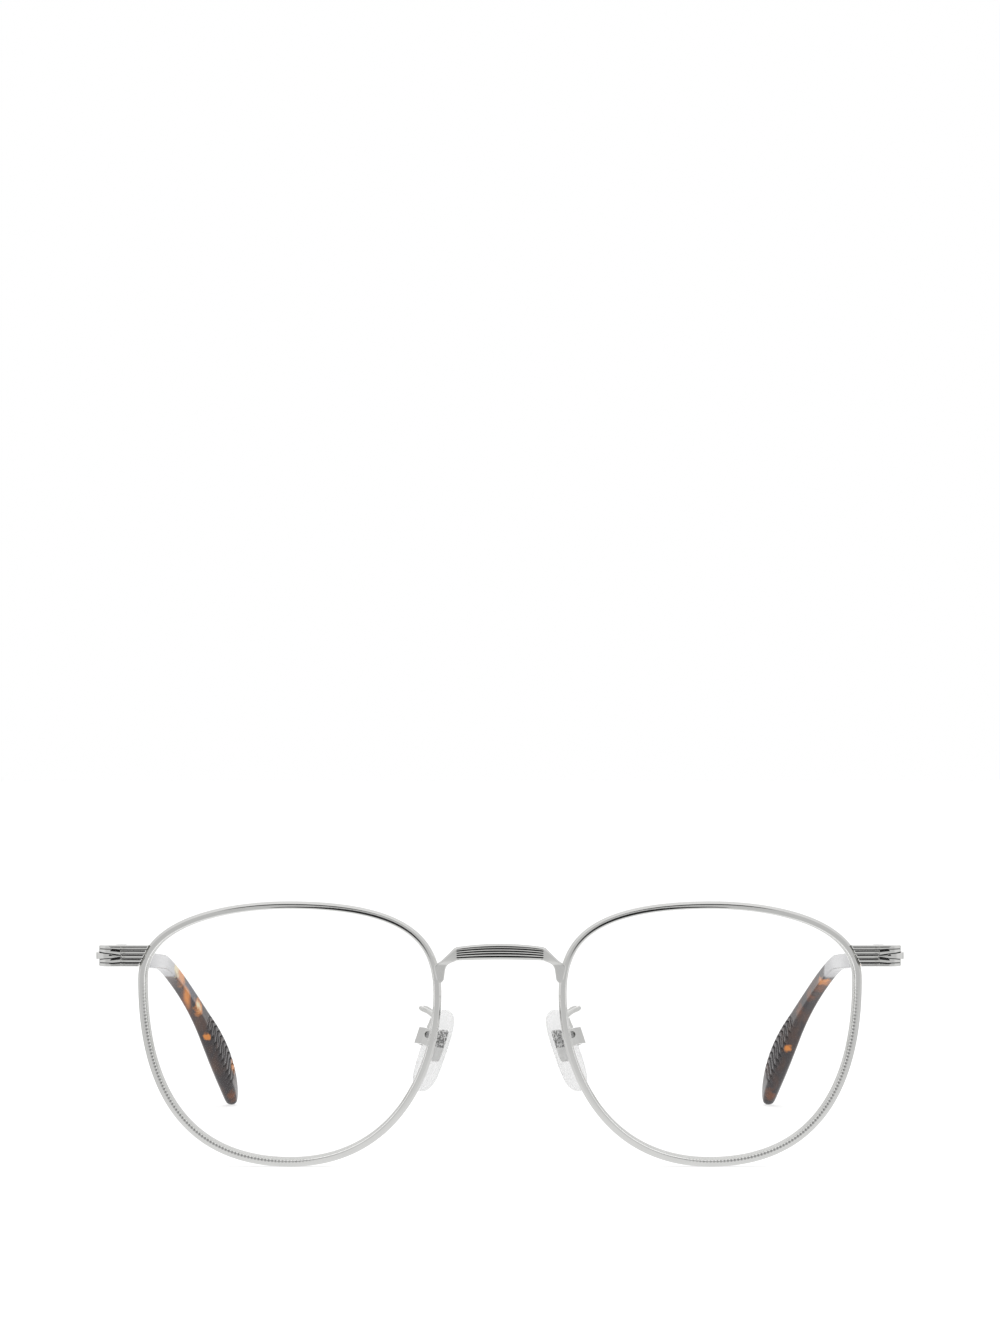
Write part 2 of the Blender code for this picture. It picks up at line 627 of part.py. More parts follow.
def make_pad_screw(steel):
    end = BOX_SIZE.x / 2
    head = end + SEAM
    profile = [(0, head + 0.4), (0.48, head + 0.4), (0.62, head + 0.25), (0.62, head), (PAD_PIN_RADIUS, head),
               (PAD_PIN_RADIUS, -end), (0, -end)]
    screw = turned("left_pad_screw", profile, steel, along_pad_screw(), steps=16)
    boolean(screw, block("pad_screw_slot", (2.0, 0.2, 0.3), (0, 0, head + 0.4), None, along_pad_screw()))
    return screw


def make_pad_insert(name, allowance, material):
    """The plate inside the pad and the stem that leaves it, or with an allowance, the room they need."""
    grow = Vector((2 * allowance,) * 3)
    insert = block(name, PLATE_SIZE + grow, PLATE_CENTRE, material, PAD_FRAME)
    stem = block(name + "_stem", STEM_SIZE + grow, STEM_CENTRE, None, PAD_FRAME)
    boolean(insert, stem, "UNION")
    return insert


def make_nose_pad(silicone):
    body = bmesh.new()
    bmesh.ops.create_cube(body, size=1.0)
    long_edges = [edge for edge in body.edges if abs(edge.verts[0].co.z - edge.verts[1].co.z) > 0.5]
    bmesh.ops.subdivide_edges(body, edges=long_edges, cuts=1, use_grid_fill=True)
    bmesh.ops.scale(body, vec=PAD_SIZE * 1.18 * MM, verts=body.verts)
    bmesh.ops.translate(body, vec=PAD_CENTRE * MM, verts=body.verts)
    pad = finish_mesh("left_nose_pad", body, silicone, PAD_FRAME)
    rounding = pad.modifiers.new("rounding", "SUBSURF")
    rounding.levels = 2
    rounding.render_levels = 2
    boolean(pad, make_pad_insert("pad_pocket", SEAM, None))
    return pad


# ------------------------------------------------------------------ assembly

def pivot(name, frame, parent):
    empty = bpy.data.objects.new(name, None)
    PARTS.objects.link(empty)
    empty.empty_display_size = 5 * MM
    empty.matrix_world = frame
    empty.parent = parent
    return empty


def attach(obj, empty, frame):
    obj.parent = empty
    obj.matrix_parent_inverse = frame.inverted()


def main():
    silver = principled("polished_silver", (0.78, 0.78, 0.76), 1.0, 0.12)
    brushed = principled("brushed_silver", (0.66, 0.66, 0.65), 1.0, 0.3)
    steel = principled("screw_steel", (0.42, 0.42, 0.42), 1.0, 0.3)
    clear = principled("clear_lens", (0.98, 0.99, 0.99), 0.0, 0.02, 1.0)
    acetate = principled("tortoise_acetate", (0.08, 0.055, 0.045), 0.0, 0.18)
    silicone = principled("clear_silicone", (0.9, 0.9, 0.89), 0.0, 0.3, 0.8)

    envelope = make_rim_envelope()
    front = [make_rim(silver), make_lens(clear), make_endpiece(silver), *make_rim_lock(brushed, steel)]
    for piece in front[2:5]:
        boolean(piece, envelope)
    fork, tongue, hinge_screw = make_hinge(brushed, steel)
    pad_hole = hole("pad_stem_hole", PAD_PIN_RADIUS + FIT, BOX_SIZE.x + 1, along_pad_screw())
    insert = make_pad_insert("left_pad_insert", 0.0, brushed)
    boolean(insert, pad_hole)
    front += [fork, hinge_screw, make_pad_arm(silver, envelope), make_pad_box(silver), make_pad_screw(steel)]
    temple = [tongue, make_temple_arm(silver), make_temple_tip(acetate)]
    pad = [make_nose_pad(silicone), insert]

    bridge = make_bridge(silver)
    boolean(bridge, envelope)
    boolean(bridge, mirrored(envelope, "rim_envelope_right", None))

    root = pivot("front_pivot", Matrix.Identity(4), None)
    cutters = [obj for obj in CUTTERS.objects]
    flip = Matrix.Scale(-1, 4, (1, 0, 0))
    for group, name, frame in ((front, "front", Matrix.Identity(4)), (temple, "temple_pivot", HINGE_FRAME),
                               (pad, "pad_pivot", PAD_FRAME)):
        left_pivot, right_pivot = root, root
        place = Matrix.Translation(frame.translation)
        other_place = Matrix.Translation(flip @ frame.translation)
        if name != "front":
            left_pivot = pivot("left_" + name, place, root)
            right_pivot = pivot("right_" + name, other_place, root)
        for piece in group:
            twin = mirrored(piece, piece.name.replace("left_", "right_"), piece.active_material)
            attach(piece, left_pivot, place)
            attach(twin, right_pivot, other_place)
    for piece in [bridge, *cutters]:
        attach(piece, root, Matrix.Identity(4))
    root.location.y = FRONT_Y * MM


main()
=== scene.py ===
"""Looks of the round wire eyeglasses: polished rims with a milled inner edge, a ribbed bridge and
endpieces, clear lenses and nose pads, and tortoise ear tips with an engraved grip.

Sizes are in millimetres in the part's own drawing, and MM turns them into metres. The wearer's left
half (+X) is built, and the right half is its mirror image.
"""

import math

import bmesh
import bpy
import numpy as np
from mathutils import Matrix, Vector


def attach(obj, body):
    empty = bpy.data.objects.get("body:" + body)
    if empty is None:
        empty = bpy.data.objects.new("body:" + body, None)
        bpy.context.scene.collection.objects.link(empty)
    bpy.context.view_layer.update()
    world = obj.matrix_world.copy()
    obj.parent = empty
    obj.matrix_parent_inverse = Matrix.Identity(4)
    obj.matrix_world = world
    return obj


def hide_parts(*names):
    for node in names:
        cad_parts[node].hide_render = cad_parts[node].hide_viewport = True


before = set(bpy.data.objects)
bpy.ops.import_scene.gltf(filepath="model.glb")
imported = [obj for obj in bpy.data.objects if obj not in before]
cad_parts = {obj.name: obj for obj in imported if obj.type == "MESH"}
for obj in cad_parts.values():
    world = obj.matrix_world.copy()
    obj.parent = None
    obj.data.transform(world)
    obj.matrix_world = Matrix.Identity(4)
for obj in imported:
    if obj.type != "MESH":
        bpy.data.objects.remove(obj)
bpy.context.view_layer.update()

MM = 0.001
SEAM = 0.05                      # the arm is down to its core wire this far before the ear tip
FRONT_Y = -66.99                 # the drawing's front plane, y = 0, in the part's frame

# Lens outline in the lens's own plane: t points to the temple, w points up
OUTLINE_WIDTH = 52.75
OUTLINE_HEIGHT = 46.4
TOP_T = -0.5
TEMPLE_W = 9.2
BOTTOM_T = 0.4
NASAL_W = 7.0
HANDLES = ((0.35, 0.82), (0.52, 0.78), (0.74, 0.42), (0.54, 0.84))
LENS_CENTRE = Vector((36.52, 1.5, 22.94))
LENS_RADIUS = 130.0
LENS_THICK = 1.2
LENS_EDGE = 1.32                 # its faces end this far inside the rim's outside
LENS_RIDGE = 0.87                # and the ridge of its edge this far
LEAN = math.radians(5.0)
WRAP = math.radians(4.0)

# Rim, with fine notches milled across its inner edge, on its lower outer side
RIM_INSET = 0.15
RIM_WALL = 1.25
RIM_DEPTH = 2.2
RIM_CHAMFER = 0.475
RIM_EDGE = 0.12                  # rounding of its corners
GROOVE_MOUTH = 0.62
GROOVE_INSET = 0.80
RIM_SPLIT = 0.1
RIM_SPLIT_Z = 36.55
MILL_PITCH = 0.62
MILL_DEPTH = 0.12
MILL_CORNER = 0.1                # only this much of the rim's inner corner is cut
MILL_STEPS = 4                   # stations for each notch
MILL_SHADE = 0.85                 # how much painted shade the notches get
MILL_REACH = 0.25                # how far they shade the rim's front
MILL_START = 1.0                 # quarters of the outline between which it is milled
MILL_END = 2.1
MILL_FADE = 0.15                 # over which the notches start and end

# Bridge: a ribbed bar whose sloped ends lie against the rims
BRIDGE_END = ((10.9, 32.6, 10.1, 32.1), (11.05, 33.1, 9.7, 32.6), (11.3, 33.9, 9.55, 33.6),
              (11.5, 34.7, 9.4, 34.5), (11.3, 35.2, 9.1, 35.05), (10.35, 35.65, 8.6, 35.45),
              (9.0, 36.9, 8.0, 35.7), (7.95, 37.98, 7.6, 35.88))
BAR_HALF = 7.5
BAR_TOP = (38.8, 38.2)
BAR_BOTTOM = (36.15, 35.95)
BRIDGE_THICK = 1.7
BRIDGE_SETBACK = 0.15            # how far back its middle lies
BRIDGE_SWEEP = 1.15              # and how much further back its ends lie
SWEEP_REACH = 10.0
BRIDGE_BROW = 0.4                # rounding of its sloping upper edge
BROW_SLOPE = 38                  # degrees
GROOVE_DEPTH = 0.22
GROOVE_SHARES = (0.24, 0.08, -0.08, -0.26)
RIB_FALL = 0.03                  # the edges of each rib lie back this far from its middle
GROOVE_HALF = 0.075              # half a groove's width, here and on the endpiece
SHADED_DEPTH = 0.05              # a groove at least this deep gets the full painted shade

# Endpiece
ENDPIECE_Z = 36.55
ENDPIECE_HEIGHT = 3.67
ENDPIECE_FRONT = 3.4
ENDPIECE_BACK = 5.3
ENDPIECE_INNER = 67.2
LIP_SLANT = -0.5
CORNER_RADIUS = 0.3
CORNER_THICK = 2.35
OUTER_GROOVE = 1.2               # height of the outer grooves round the corner
BAND_HALF = (0.35, 0.72)         # half height of the middle rib at the corner's start and end
BAND_CROWN = 0.5                 # how far the middle rib stands out

# Temple, in the hinge's frame: x to the side, y along the temple, z along the pin
HINGE = Vector((65.9, 10.5, 36.2))
SLOPE = math.radians(4.0)
ARM_START = -0.85
ARM_X = 2.0
ARM_TOE = 0.0477
ARM_THICK = 1.3
ARM_SHOULDER = 51.6
TIP_START = 52.0
BEND_START = 77.5
BEND_END = Vector((-12.95, 125.56, -26.92))
BEND_DIRECTION = Vector((-0.08, 0.68, -0.77))
BEND_PULL = (16.0, 15.3)

# Grip engraved in the side of the ear tip that faces the head
GRIP_PITCH = 1.4
GRIP_DEPTH = 0.34
GRIP_START = 0.54                # shares of the bend between which it runs
GRIP_END = 0.87
GRIP_HALF = 0.44                 # and the share of the tip's height it reaches from the middle
BEND_LENGTH = 48.0               # length of the bend, near enough to space the grip's lines

# Nose pad, in the pad's frame: x along the screw, y towards the nose, z up the pad
PAD_AXIS = Vector((13.0, 8.5, 22.7))
PAD_SPLAY = math.radians(30.0)
PAD_TILT = math.radians(21.0)
PAD_SIZE = Vector((7.2, 2.5, 13.8))
PAD_CENTRE = Vector((0.15, 2.65, -2.1))
STEM_SIZE = Vector((1.3, 2.7, 1.8))
STEM_CENTRE = Vector((0.0, 1.05, 0.0))
PLATE_SIZE = Vector((3.8, 0.5, 5.4))
PLATE_CENTRE = Vector((-1.0, 2.6, -0.9))
STIPPLE_Z = 20.4                 # the plate's stippled part ends at this height
PAD_WIRE_RADIUS = 0.45
PAD_WIRE = ((11.2, 3.6, 25.9), (12.4, 5.4, 26.8), (13.6, 6.6, 27.3), (13.5, 7.6, 27.35),
            (12.4, 8.0, 27.0), (11.6, 7.7, 26.0), (11.8, 7.65, 25.1), (12.35, 8.0, 23.85))

# Camera and studio
CAMERA_DISTANCE = 900.0
CAMERA_HEIGHT = 86.5
CAMERA_LENS = 141.1
# Grey that polished surfaces see, from straight down (-1) through level (0) to straight up (1)
ROOM = ((-1.0, 0.80), (-0.5, 0.78), (-0.35, 0.66), (-0.1, 0.58), (0.2, 0.58), (0.5, 0.70), (0.85, 0.82),
        (1.0, 0.84))
WALLS = (0.72, 0.95)             # how far to the side the room ends at its walls
WALL_GREY = 0.75
BACKDROP = (0.7, 0.8)            # how far to the back the bright backdrop starts
BACKDROP_WHITE = 1.15
DOORWAY = (0.992, 0.999)         # the backdrop's small grey middle
DOORWAY_GREY = 0.5
LINTEL_UP = (0.17, 0.20, 0.70, 0.80)   # dark band over the camera: where it starts and ends, upwards
LINTEL_SIDE = (0.32, 0.46)             # and sideways
CAMERA_SPOT = (0.22, 0.15)       # half width and height of the dark camera under the middle of the band
CAMERA_BASE = (-0.04, -0.03)     # its flat lower edge
CAMERA_GREY = 0.02               # grey of the band and of the camera

PLACE = Matrix.Translation(Vector((0.0, FRONT_Y * MM, 0.0)))
LENS_FRAME = (Matrix.Translation(LENS_CENTRE * MM) @ Matrix.Rotation(LEAN, 4, "X")
              @ Matrix.Rotation(WRAP, 4, "Z") @ Matrix.Rotation(math.pi / 2, 4, "X"))
HINGE_FRAME = Matrix.Translation(HINGE * MM) @ Matrix.Rotation(-SLOPE, 4, "X")
PAD_FRAME = (Matrix.Translation(PAD_AXIS * MM) @ Matrix.Rotation(-PAD_SPLAY, 4, "Z")
             @ Matrix.Rotation(math.pi / 2, 4, "Z") @ Matrix.Rotation(-PAD_TILT, 4, "X"))
FLIP = Matrix.Scale(-1, 4, (1, 0, 0))


# ------------------------------------------------------------------ building helpers

def mesh_from(body, name, angle=35):
    bmesh.ops.recalc_face_normals(body, faces=body.faces)
    mesh = bpy.data.meshes.new(name)
    body.to_mesh(mesh)
    body.free()
    mesh.shade_smooth()
    mesh.set_sharp_from_angle(angle=math.radians(angle))
    return mesh


def loft(name, rings, place=Matrix.Identity(4), open_end=False, angle=35):
    """Mesh through rings of equally many points, in the part's frame, with a cap on its ends.

    A point's fourth value, where it has one, is how far it lies down a groove, which the materials turn into
    painted shade and roughness.
    """
    body = bmesh.new()
    recess = body.verts.layers.float.new("recess")
    loops = []
    for ring in rings:
        loops.append([body.verts.new(Vector(point[:3]) * MM) for point in ring])
        for vertex, point in zip(loops[-1], ring):
            vertex[recess] = point[3] if len(point) > 3 else 0.0
    for near, far in zip(loops, loops[1:]):
        for i in range(len(near)):
            j = (i + 1) % len(near)
            body.faces.new((near[i], near[j], far[j], far[i]))
    body.faces.new(loops[0])
    if not open_end:
        body.faces.new(loops[-1])
    mesh = mesh_from(body, name, angle)
    mesh.transform(PLACE @ place)
    return mesh


def add_piece(name, mesh, material, slot, body, *nodes):
    obj = bpy.data.objects.new(name, mesh)
    bpy.context.scene.collection.objects.link(obj)
    mesh.materials.clear()
    mesh.materials.append(material)
    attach(obj, body)
    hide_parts(*nodes)
    return obj


def add_pair(kind, mesh, materials, slot, body):
    """The piece on the wearer's left, and its mirror image on the right."""
    twin = mesh.copy()
    twin.transform(FLIP)
    twin.flip_normals()
    pieces = []
    for side, data, material in (("left", mesh, materials[0]), ("right", twin, materials[-1])):
        rides = body if body == "front" else side + "_" + body
        pieces.append(add_piece(kind + "_" + side, data, material, slot, rides, side + "_" + kind))
    return pieces


def arc(centre, radius, start, end, steps):
    """Points round a centre, from one angle to another in degrees, both ends included."""
    angles = [math.radians(start + (end - start) * i / steps) for i in range(steps + 1)]
    return [(centre[0] + radius * math.cos(a), centre[1] + radius * math.sin(a)) for a in angles]


def smooth_path(values, per_span):
    """Rows of numbers, filled in between along Catmull-Rom curves."""
    rows = [np.array(row, float) for row in values]
    rows = [2 * rows[0] - rows[1], *rows, 2 * rows[-1] - rows[-2]]
    filled = []
    for a, b, c, d in zip(rows, rows[1:], rows[2:], rows[3:]):
        for i in range(per_span):
            t = i / per_span
            filled.append(0.5 * (2 * b + (c - a) * t + (2 * a - 5 * b + 4 * c - d) * t * t
                                 + (3 * b - a - 3 * c + d) * t ** 3))
    return filled + [rows[-2]]


# ------------------------------------------------------------------ lens outline

def outline_quarter(quarter):
    """Control points of one quarter of the outline: 0 top, 1 temple, 2 bottom, 3 nasal side."""
    extremes = (Vector((TOP_T, OUTLINE_HEIGHT / 2)), Vector((OUTLINE_WIDTH / 2, TEMPLE_W)),
                Vector((BOTTOM_T, -OUTLINE_HEIGHT / 2)), Vector((-OUTLINE_WIDTH / 2, NASAL_W)))
    start = extremes[quarter]
    end = extremes[(quarter + 1) % 4]
    across = Vector((end.x - start.x, 0.0))
    along = Vector((0.0, end.y - start.y))
    leaving, arriving = HANDLES[quarter]
    if quarter % 2 == 0:
        return start, start + across * leaving, end - along * arriving, end
    return start, start + along * leaving, end - across * arriving, end


def outline_place(u):
    """Point of the outline and the direction into the lens, at u, which counts quarters of the outline
    from its top through the temple side."""
    quarter = int(u % 4)
    s = u % 1
    p0, p1, p2, p3 = outline_quarter(quarter)
    point = p0 * (1 - s) ** 3 + p1 * 3 * s * (1 - s) ** 2 + p2 * 3 * s * s * (1 - s) + p3 * s ** 3
    tangent = (p1 - p0) * (1 - s) ** 2 + (p2 - p1) * 2 * s * (1 - s) + (p3 - p2) * s * s
    inward = Vector((-tangent.y, tangent.x)).normalized()
    if inward.dot(point) > 0:
        inward = -inward
    return point, inward


def rim_place(u):
    """Origin of the rim's section in the lens's frame, the direction into the lens, and the angle at
    which the section leans with the lens sphere."""
    point, inward = outline_place(u)
    origin = point + inward * RIM_INSET
    depth = math.sqrt(LENS_RADIUS ** 2 - origin.length_squared)
    return Vector((origin.x, origin.y, depth - LENS_RADIUS)), inward, math.atan(-origin.dot(inward) / depth)


def section_point(u, into, forward):
    """Point of the rim's section in the lens's frame."""
    origin, inward, lean = rim_place(u)
    across = inward.to_3d()
    ahead = Vector((0, 0, 1))
    return (origin + across * (into * math.cos(lean) - forward * math.sin(lean))
            + ahead * (into * math.sin(lean) + forward * math.cos(lean)))


def split_position():
    """Where the rim is split, at the endpiece's height on the temple side."""
    height = (RIM_SPLIT_Z - LENS_CENTRE.z) / math.cos(LEAN)
    low, high = 0.0, 1.0
    for _ in range(30):
        middle = (low + high) / 2
        if outline_place(middle)[0].y > height:
            low = middle
        else:
            high = middle
    return low


def outline_stations(pitch):
    """Positions evenly far apart along the outline, from one end of the split rim to the other."""
    split = split_position()
    dense = [split + 4 * i / 2000 for i in range(2001)]
    points = np.array([outline_place(u)[0] for u in dense])
    steps = np.linalg.norm(np.diff(points, axis=0), axis=1)
    travelled = np.concatenate([[0.0], np.cumsum(steps)])
    count = round(travelled[-1] / pitch)
    wanted = np.linspace(RIM_SPLIT / 2, travelled[-1] - RIM_SPLIT / 2, count + 1)
    return list(np.interp(wanted, travelled, dense))


# ------------------------------------------------------------------ front

def rim_section():
    """Section of the rim as (in, forward, share of the milling and of its painted shade) points."""
    half = RIM_DEPTH / 2
    edge = RIM_EDGE
    slope = half - RIM_CHAMFER
    reach = RIM_WALL - edge - MILL_REACH
    # A corner's arc ends this far before the corner, where it turns by 45 degrees
    short = edge * math.tan(math.radians(22.5))
    outer = arc((edge, slope - short), edge, 180, 135, 3)
    outer += arc((RIM_CHAMFER + short, half - edge), edge, 135, 90, 5)
    inner = arc((RIM_WALL - edge, half - edge), edge, 90, 0, 4)
    back = arc((RIM_WALL - edge, edge - half), edge, 0, -90, 4) + arc((edge, edge - half), edge, -90, -180, 4)
    points = [(*point, 0.0) for point in outer]
    points += [(reach, half, 0.0), (reach + 0.1 * MILL_REACH, half, 0.5)]
    points += [(*point, 0.8 + 0.2 * i / 4) for i, point in enumerate(inner)]
    points += [(RIM_WALL, GROOVE_MOUTH + 0.04, 1.0), (RIM_WALL - 0.06, GROOVE_MOUTH - 0.02, 0.0),
               (GROOVE_INSET, 0.0, 0.0), (RIM_WALL - 0.02, -GROOVE_MOUTH, 0.0)]
    return points + [(*point, 0.0) for point in back]


def build_rims(silver):
    section = rim_section()
    rings = []
    for k, u in enumerate(outline_stations(MILL_PITCH / MILL_STEPS)):
        run = max(0.0, min(1.0, (u - MILL_START) / MILL_FADE, (MILL_END - u) / MILL_FADE))
        notch = run * (0.5 - 0.5 * math.cos(2 * math.pi * (k % MILL_STEPS) / MILL_STEPS))
        ring = []
        for into, forward, share in section:
            cut = MILL_DEPTH * notch * share if into > RIM_WALL - MILL_CORNER else 0.0
            # the fourth value is the painted shade in the notch
            ring.append((*section_point(u, into - cut, forward), MILL_SHADE * notch * share))
        rings.append(ring)
    add_pair("rim", loft("rim", rings, LENS_FRAME, angle=50), [silver], "polished_silver", "front")


def build_lenses(clear):
    stations = outline_stations(0.8)[:-1]
    rings = []
    half = LENS_THICK / 2
    faces = (0.03, 0.25, 0.5, 0.75, 0.93, 1.0)
    outside = [(LENS_EDGE, scale, half) for scale in faces]
    inside = [(LENS_EDGE, scale, -half) for scale in reversed(faces)]
    for into, scale, forward in (*outside, (LENS_RIDGE, 1.0, 0), *inside):
        ring = []
        for u in stations:
            edge = section_point(u, into, forward).xy * scale
            radius = LENS_RADIUS + forward
            ring.append((edge.x, edge.y, math.sqrt(radius ** 2 - edge.length_squared) - LENS_RADIUS))
        rings.append(ring)
    add_pair("lens", loft("lens", rings, LENS_FRAME), [clear], "clear_lens", "front")


def brow_points(front, top, radius):
    """A sloping flat under the top, rounded over into the front."""
    slope = math.radians(BROW_SLOPE)
    flat = radius / 2
    points = arc((front - radius, top - flat - radius * math.sin(slope)), radius, BROW_SLOPE, 0, 6)
    return [(points[0][0] - flat * math.tan(slope), top)] + points


def ribbed_section(height, thick, grooves, depth, crowns=(0, 0, 0, 0, 0), fall=0.02, brow=0.0):
    """End view of a ribbed bar as (out, up) points, with its flat back at out = 0. The points on a groove's
    floor have a third value, how far they lie down it, which the materials paint as shade.

    The four grooves run at the given heights. The ribs between them stand out by crowns, and the
    edges of each rib lie back from its middle by fall. With a brow, the bar's upper front edge slopes
    and is rounded by that radius.
    """
    top = height / 2
    edge = min(0.22, height / 8)
    half = min(GROOVE_HALF, height / 30)
    recess = min(1.0, depth / SHADED_DEPTH)
    points = arc((edge, top - edge), edge, 180, 90, 2)
    if brow:
        points += brow_points(thick + crowns[0], top, brow)
    else:
        points += arc((thick + crowns[0] - edge, top - edge), edge, 90, 0, 4)
    limits = [points[-1][1], *grooves, edge - top]
    for i in range(5):
        face = thick + crowns[i]
        start = limits[i] - (half if i else 0.0)
        end = limits[i + 1] + (half if i < 4 else 0.0)
        for share in (0.1, 0.3, 0.5, 0.7, 0.9):
            points.append((face - fall * (2 * share - 1) ** 2, start + (end - start) * share))
        if i < 4:
            floor = thick + min(crowns[i:i + 2]) - depth
            points += [(face - fall, end), (floor, grooves[i] + half / 2, recess),
                       (floor, grooves[i] - half / 2, recess),
                       (thick + crowns[i + 1] - fall, grooves[i] - half)]
    points += arc((thick + crowns[4] - edge, edge - top), edge, 0, -90, 4)
    points += arc((edge, edge - top), edge, -90, -180, 2)
    return points


def bridge_stations():
    """Upper and lower point (x, z) and groove depth, from the tail along the rim to the middle."""
    stations = [(*row, 0.0) for row in smooth_path(BRIDGE_END, 4)]
    bar = [(1.0, 0.0), (0.985, GROOVE_DEPTH)] + [(i / 12, GROOVE_DEPTH) for i in range(11, -1, -1)]
    for share, depth in bar:
        x = BAR_HALF * share
        top = BAR_TOP[0] + (BAR_TOP[1] - BAR_TOP[0]) * share ** 2
        bottom = BAR_BOTTOM[0] + (BAR_BOTTOM[1] - BAR_BOTTOM[0]) * share ** 2
        stations.append((x, top, x, bottom, depth))
    return stations


def build_bridge(silver):
    rings = []
    for upper_x, upper_z, lower_x, lower_z, depth in bridge_stations():
        upper = Vector((upper_x, upper_z))
        lower = Vector((lower_x, lower_z))
        middle = (upper + lower) / 2
        rise = (upper - lower).normalized()
        height = (upper - lower).length
        sweep = BRIDGE_SWEEP * min(1.0, middle.x / SWEEP_REACH) ** 2
        back = BRIDGE_SETBACK + BRIDGE_THICK / 2 + sweep
        grooves = [height * share for share in GROOVE_SHARES]
        section = ribbed_section(height, BRIDGE_THICK, grooves, depth, fall=RIB_FALL if depth else 0.0,
                                 brow=min(BRIDGE_BROW, 0.2 * height))
        rings.append([(middle.x + rise.x * up, back - out, middle.y + rise.y * up, *recess)
                      for out, up, *recess in section])
    mesh = loft("bridge_bar", rings, open_end=True)
    piece = add_piece("bridge_bar", mesh, silver, "polished_silver", "front", "bridge")
    mirror = piece.modifiers.new("other half", "MIRROR")
    mirror.merge_threshold = 0.000001


def build_endpieces(silver):
    thick = ENDPIECE_BACK - ENDPIECE_FRONT
    even = [ENDPIECE_HEIGHT * share for share in (0.3, 0.1, -0.1, -0.3)]
    flat = (0.0,) * 5
    sunk = (-0.15,) * 5
    # Place, slant, thickness, groove heights, groove depth and crowns, from the rim to the corner
    front = ((61.6, LIP_SLANT, thick - 0.15, even, 0.1, flat), (61.75, LIP_SLANT, thick, even, 0.24, flat),
             (63.4, LIP_SLANT / 2, thick, even, 0.24, flat), (64.78, 0, thick, even, 0.24, flat),
             (64.88, 0, thick, even, 0.1, sunk), (65.05, 0, thick, even, 0.1, sunk),
             (65.13, 0, thick, even, 0.2, flat), (65.3, 0, thick, even, 0.24, flat),
             (65.38, 0, thick, even, 0.1, sunk), (65.5, 0, thick, (1.1, 0.15, -0.15, -1.1), 0.1, sunk),
             (65.6, 0, thick, (1.1, 0.16, -0.16, -1.1), 0.2, flat))
    rings = []
    for x, slant, depth, grooves, groove, crowns in front:
        section = ribbed_section(ENDPIECE_HEIGHT, depth, grooves, groove, crowns)
        rings.append([(x + slant * up, ENDPIECE_BACK - out, ENDPIECE_Z + up, *recess)
                      for out, up, *recess in section])

    centre = Vector((ENDPIECE_INNER - CORNER_RADIUS, ENDPIECE_BACK + CORNER_RADIUS))
    for i in range(13):
        share = i / 12
        angle = share * math.pi / 2
        band = BAND_HALF[0] + (BAND_HALF[1] - BAND_HALF[0]) * share
        crown = BAND_CROWN * (0.3 + 0.7 * share)
        section = ribbed_section(ENDPIECE_HEIGHT, thick + (CORNER_THICK - thick) * share,
                                 (OUTER_GROOVE, band, -band, -OUTER_GROOVE), 0.15, (0, 0, crown, 0, 0))
        rings.append([(centre.x + math.sin(angle) * (CORNER_RADIUS + out),
                       centre.y - math.cos(angle) * (CORNER_RADIUS + out), ENDPIECE_Z + up, *recess)
                      for out, up, *recess in section])

    arm_thick = HINGE.x + ARM_X + ARM_THICK / 2 - ENDPIECE_INNER
    for y, thickness, crown in ((7.4, 1.9, 0.3), (HINGE.y + ARM_START - 0.1, arm_thick, 0.0)):
        drop = (y - centre.y) * math.tan(SLOPE)
        grooves = (OUTER_GROOVE, BAND_HALF[1], -BAND_HALF[1], -OUTER_GROOVE)
        section = ribbed_section(ENDPIECE_HEIGHT, thickness, grooves, crown / 3, (0, 0, crown, 0, 0),
                                 fall=crown / 10)
        rings.append([(ENDPIECE_INNER + out, y + up * math.tan(SLOPE), ENDPIECE_Z - drop + up, *recess)
                      for out, up, *recess in section])
    add_pair("endpiece", loft("endpiece", rings), [silver], "polished_silver", "front")


# ------------------------------------------------------------------ temples

def arm_middle(y):
    return Vector((ARM_X - ARM_TOE * (y - ARM_START), y, 0.0))


def straight(y):
    return arm_middle(y), Vector((-ARM_TOE, 1.0, 0.0)).normalized()


def bend_point(s):
    """Point and direction on the curve of the ear bend, for s from 0 to 1."""
    p0 = arm_middle(BEND_START)
    p1 = p0 + Vector((-ARM_TOE, 1.0, 0.0)) * BEND_PULL[0]
    p3 = BEND_END
    p2 = p3 - BEND_DIRECTION.normalized() * BEND_PULL[1]
    point = p0 * (1 - s) ** 3 + p1 * 3 * s * (1 - s) ** 2 + p2 * 3 * s * s * (1 - s) + p3 * s ** 3
    direction = (p1 - p0) * (1 - s) ** 2 + (p2 - p1) * 2 * s * (1 - s) + (p3 - p2) * s * s
    return point, direction.normalized()


def section_axes(direction):
    side = Vector((direction.y, -direction.x, 0.0)).normalized()
    return side, side.cross(direction)


def rounded_box(thick, height, corner, corner_steps=3, side_steps=1):
    """Outline of a rounded rectangle as (side, up) points, with side_steps spans on each tall side."""
    x = thick / 2 - corner
    z = height / 2 - corner
    points = arc((x, z), corner, 0, 90, corner_steps) + arc((-x, z), corner, 90, 180, corner_steps)
    points += [(-thick / 2, z - 2 * z * i / side_steps) for i in range(1, side_steps)]
    points += arc((-x, -z), corner, 180, 270, corner_steps) + arc((x, -z), corner, 270, 360, corner_steps)
    points += [(thick / 2, -z + 2 * z * i / side_steps) for i in range(1, side_steps)]
    return points


def ring_at(place, outline):
    point, direction = place
    side, rise = section_axes(direction)
    return [(*(point + side * across + rise * up), *recess) for across, up, *recess in outline]


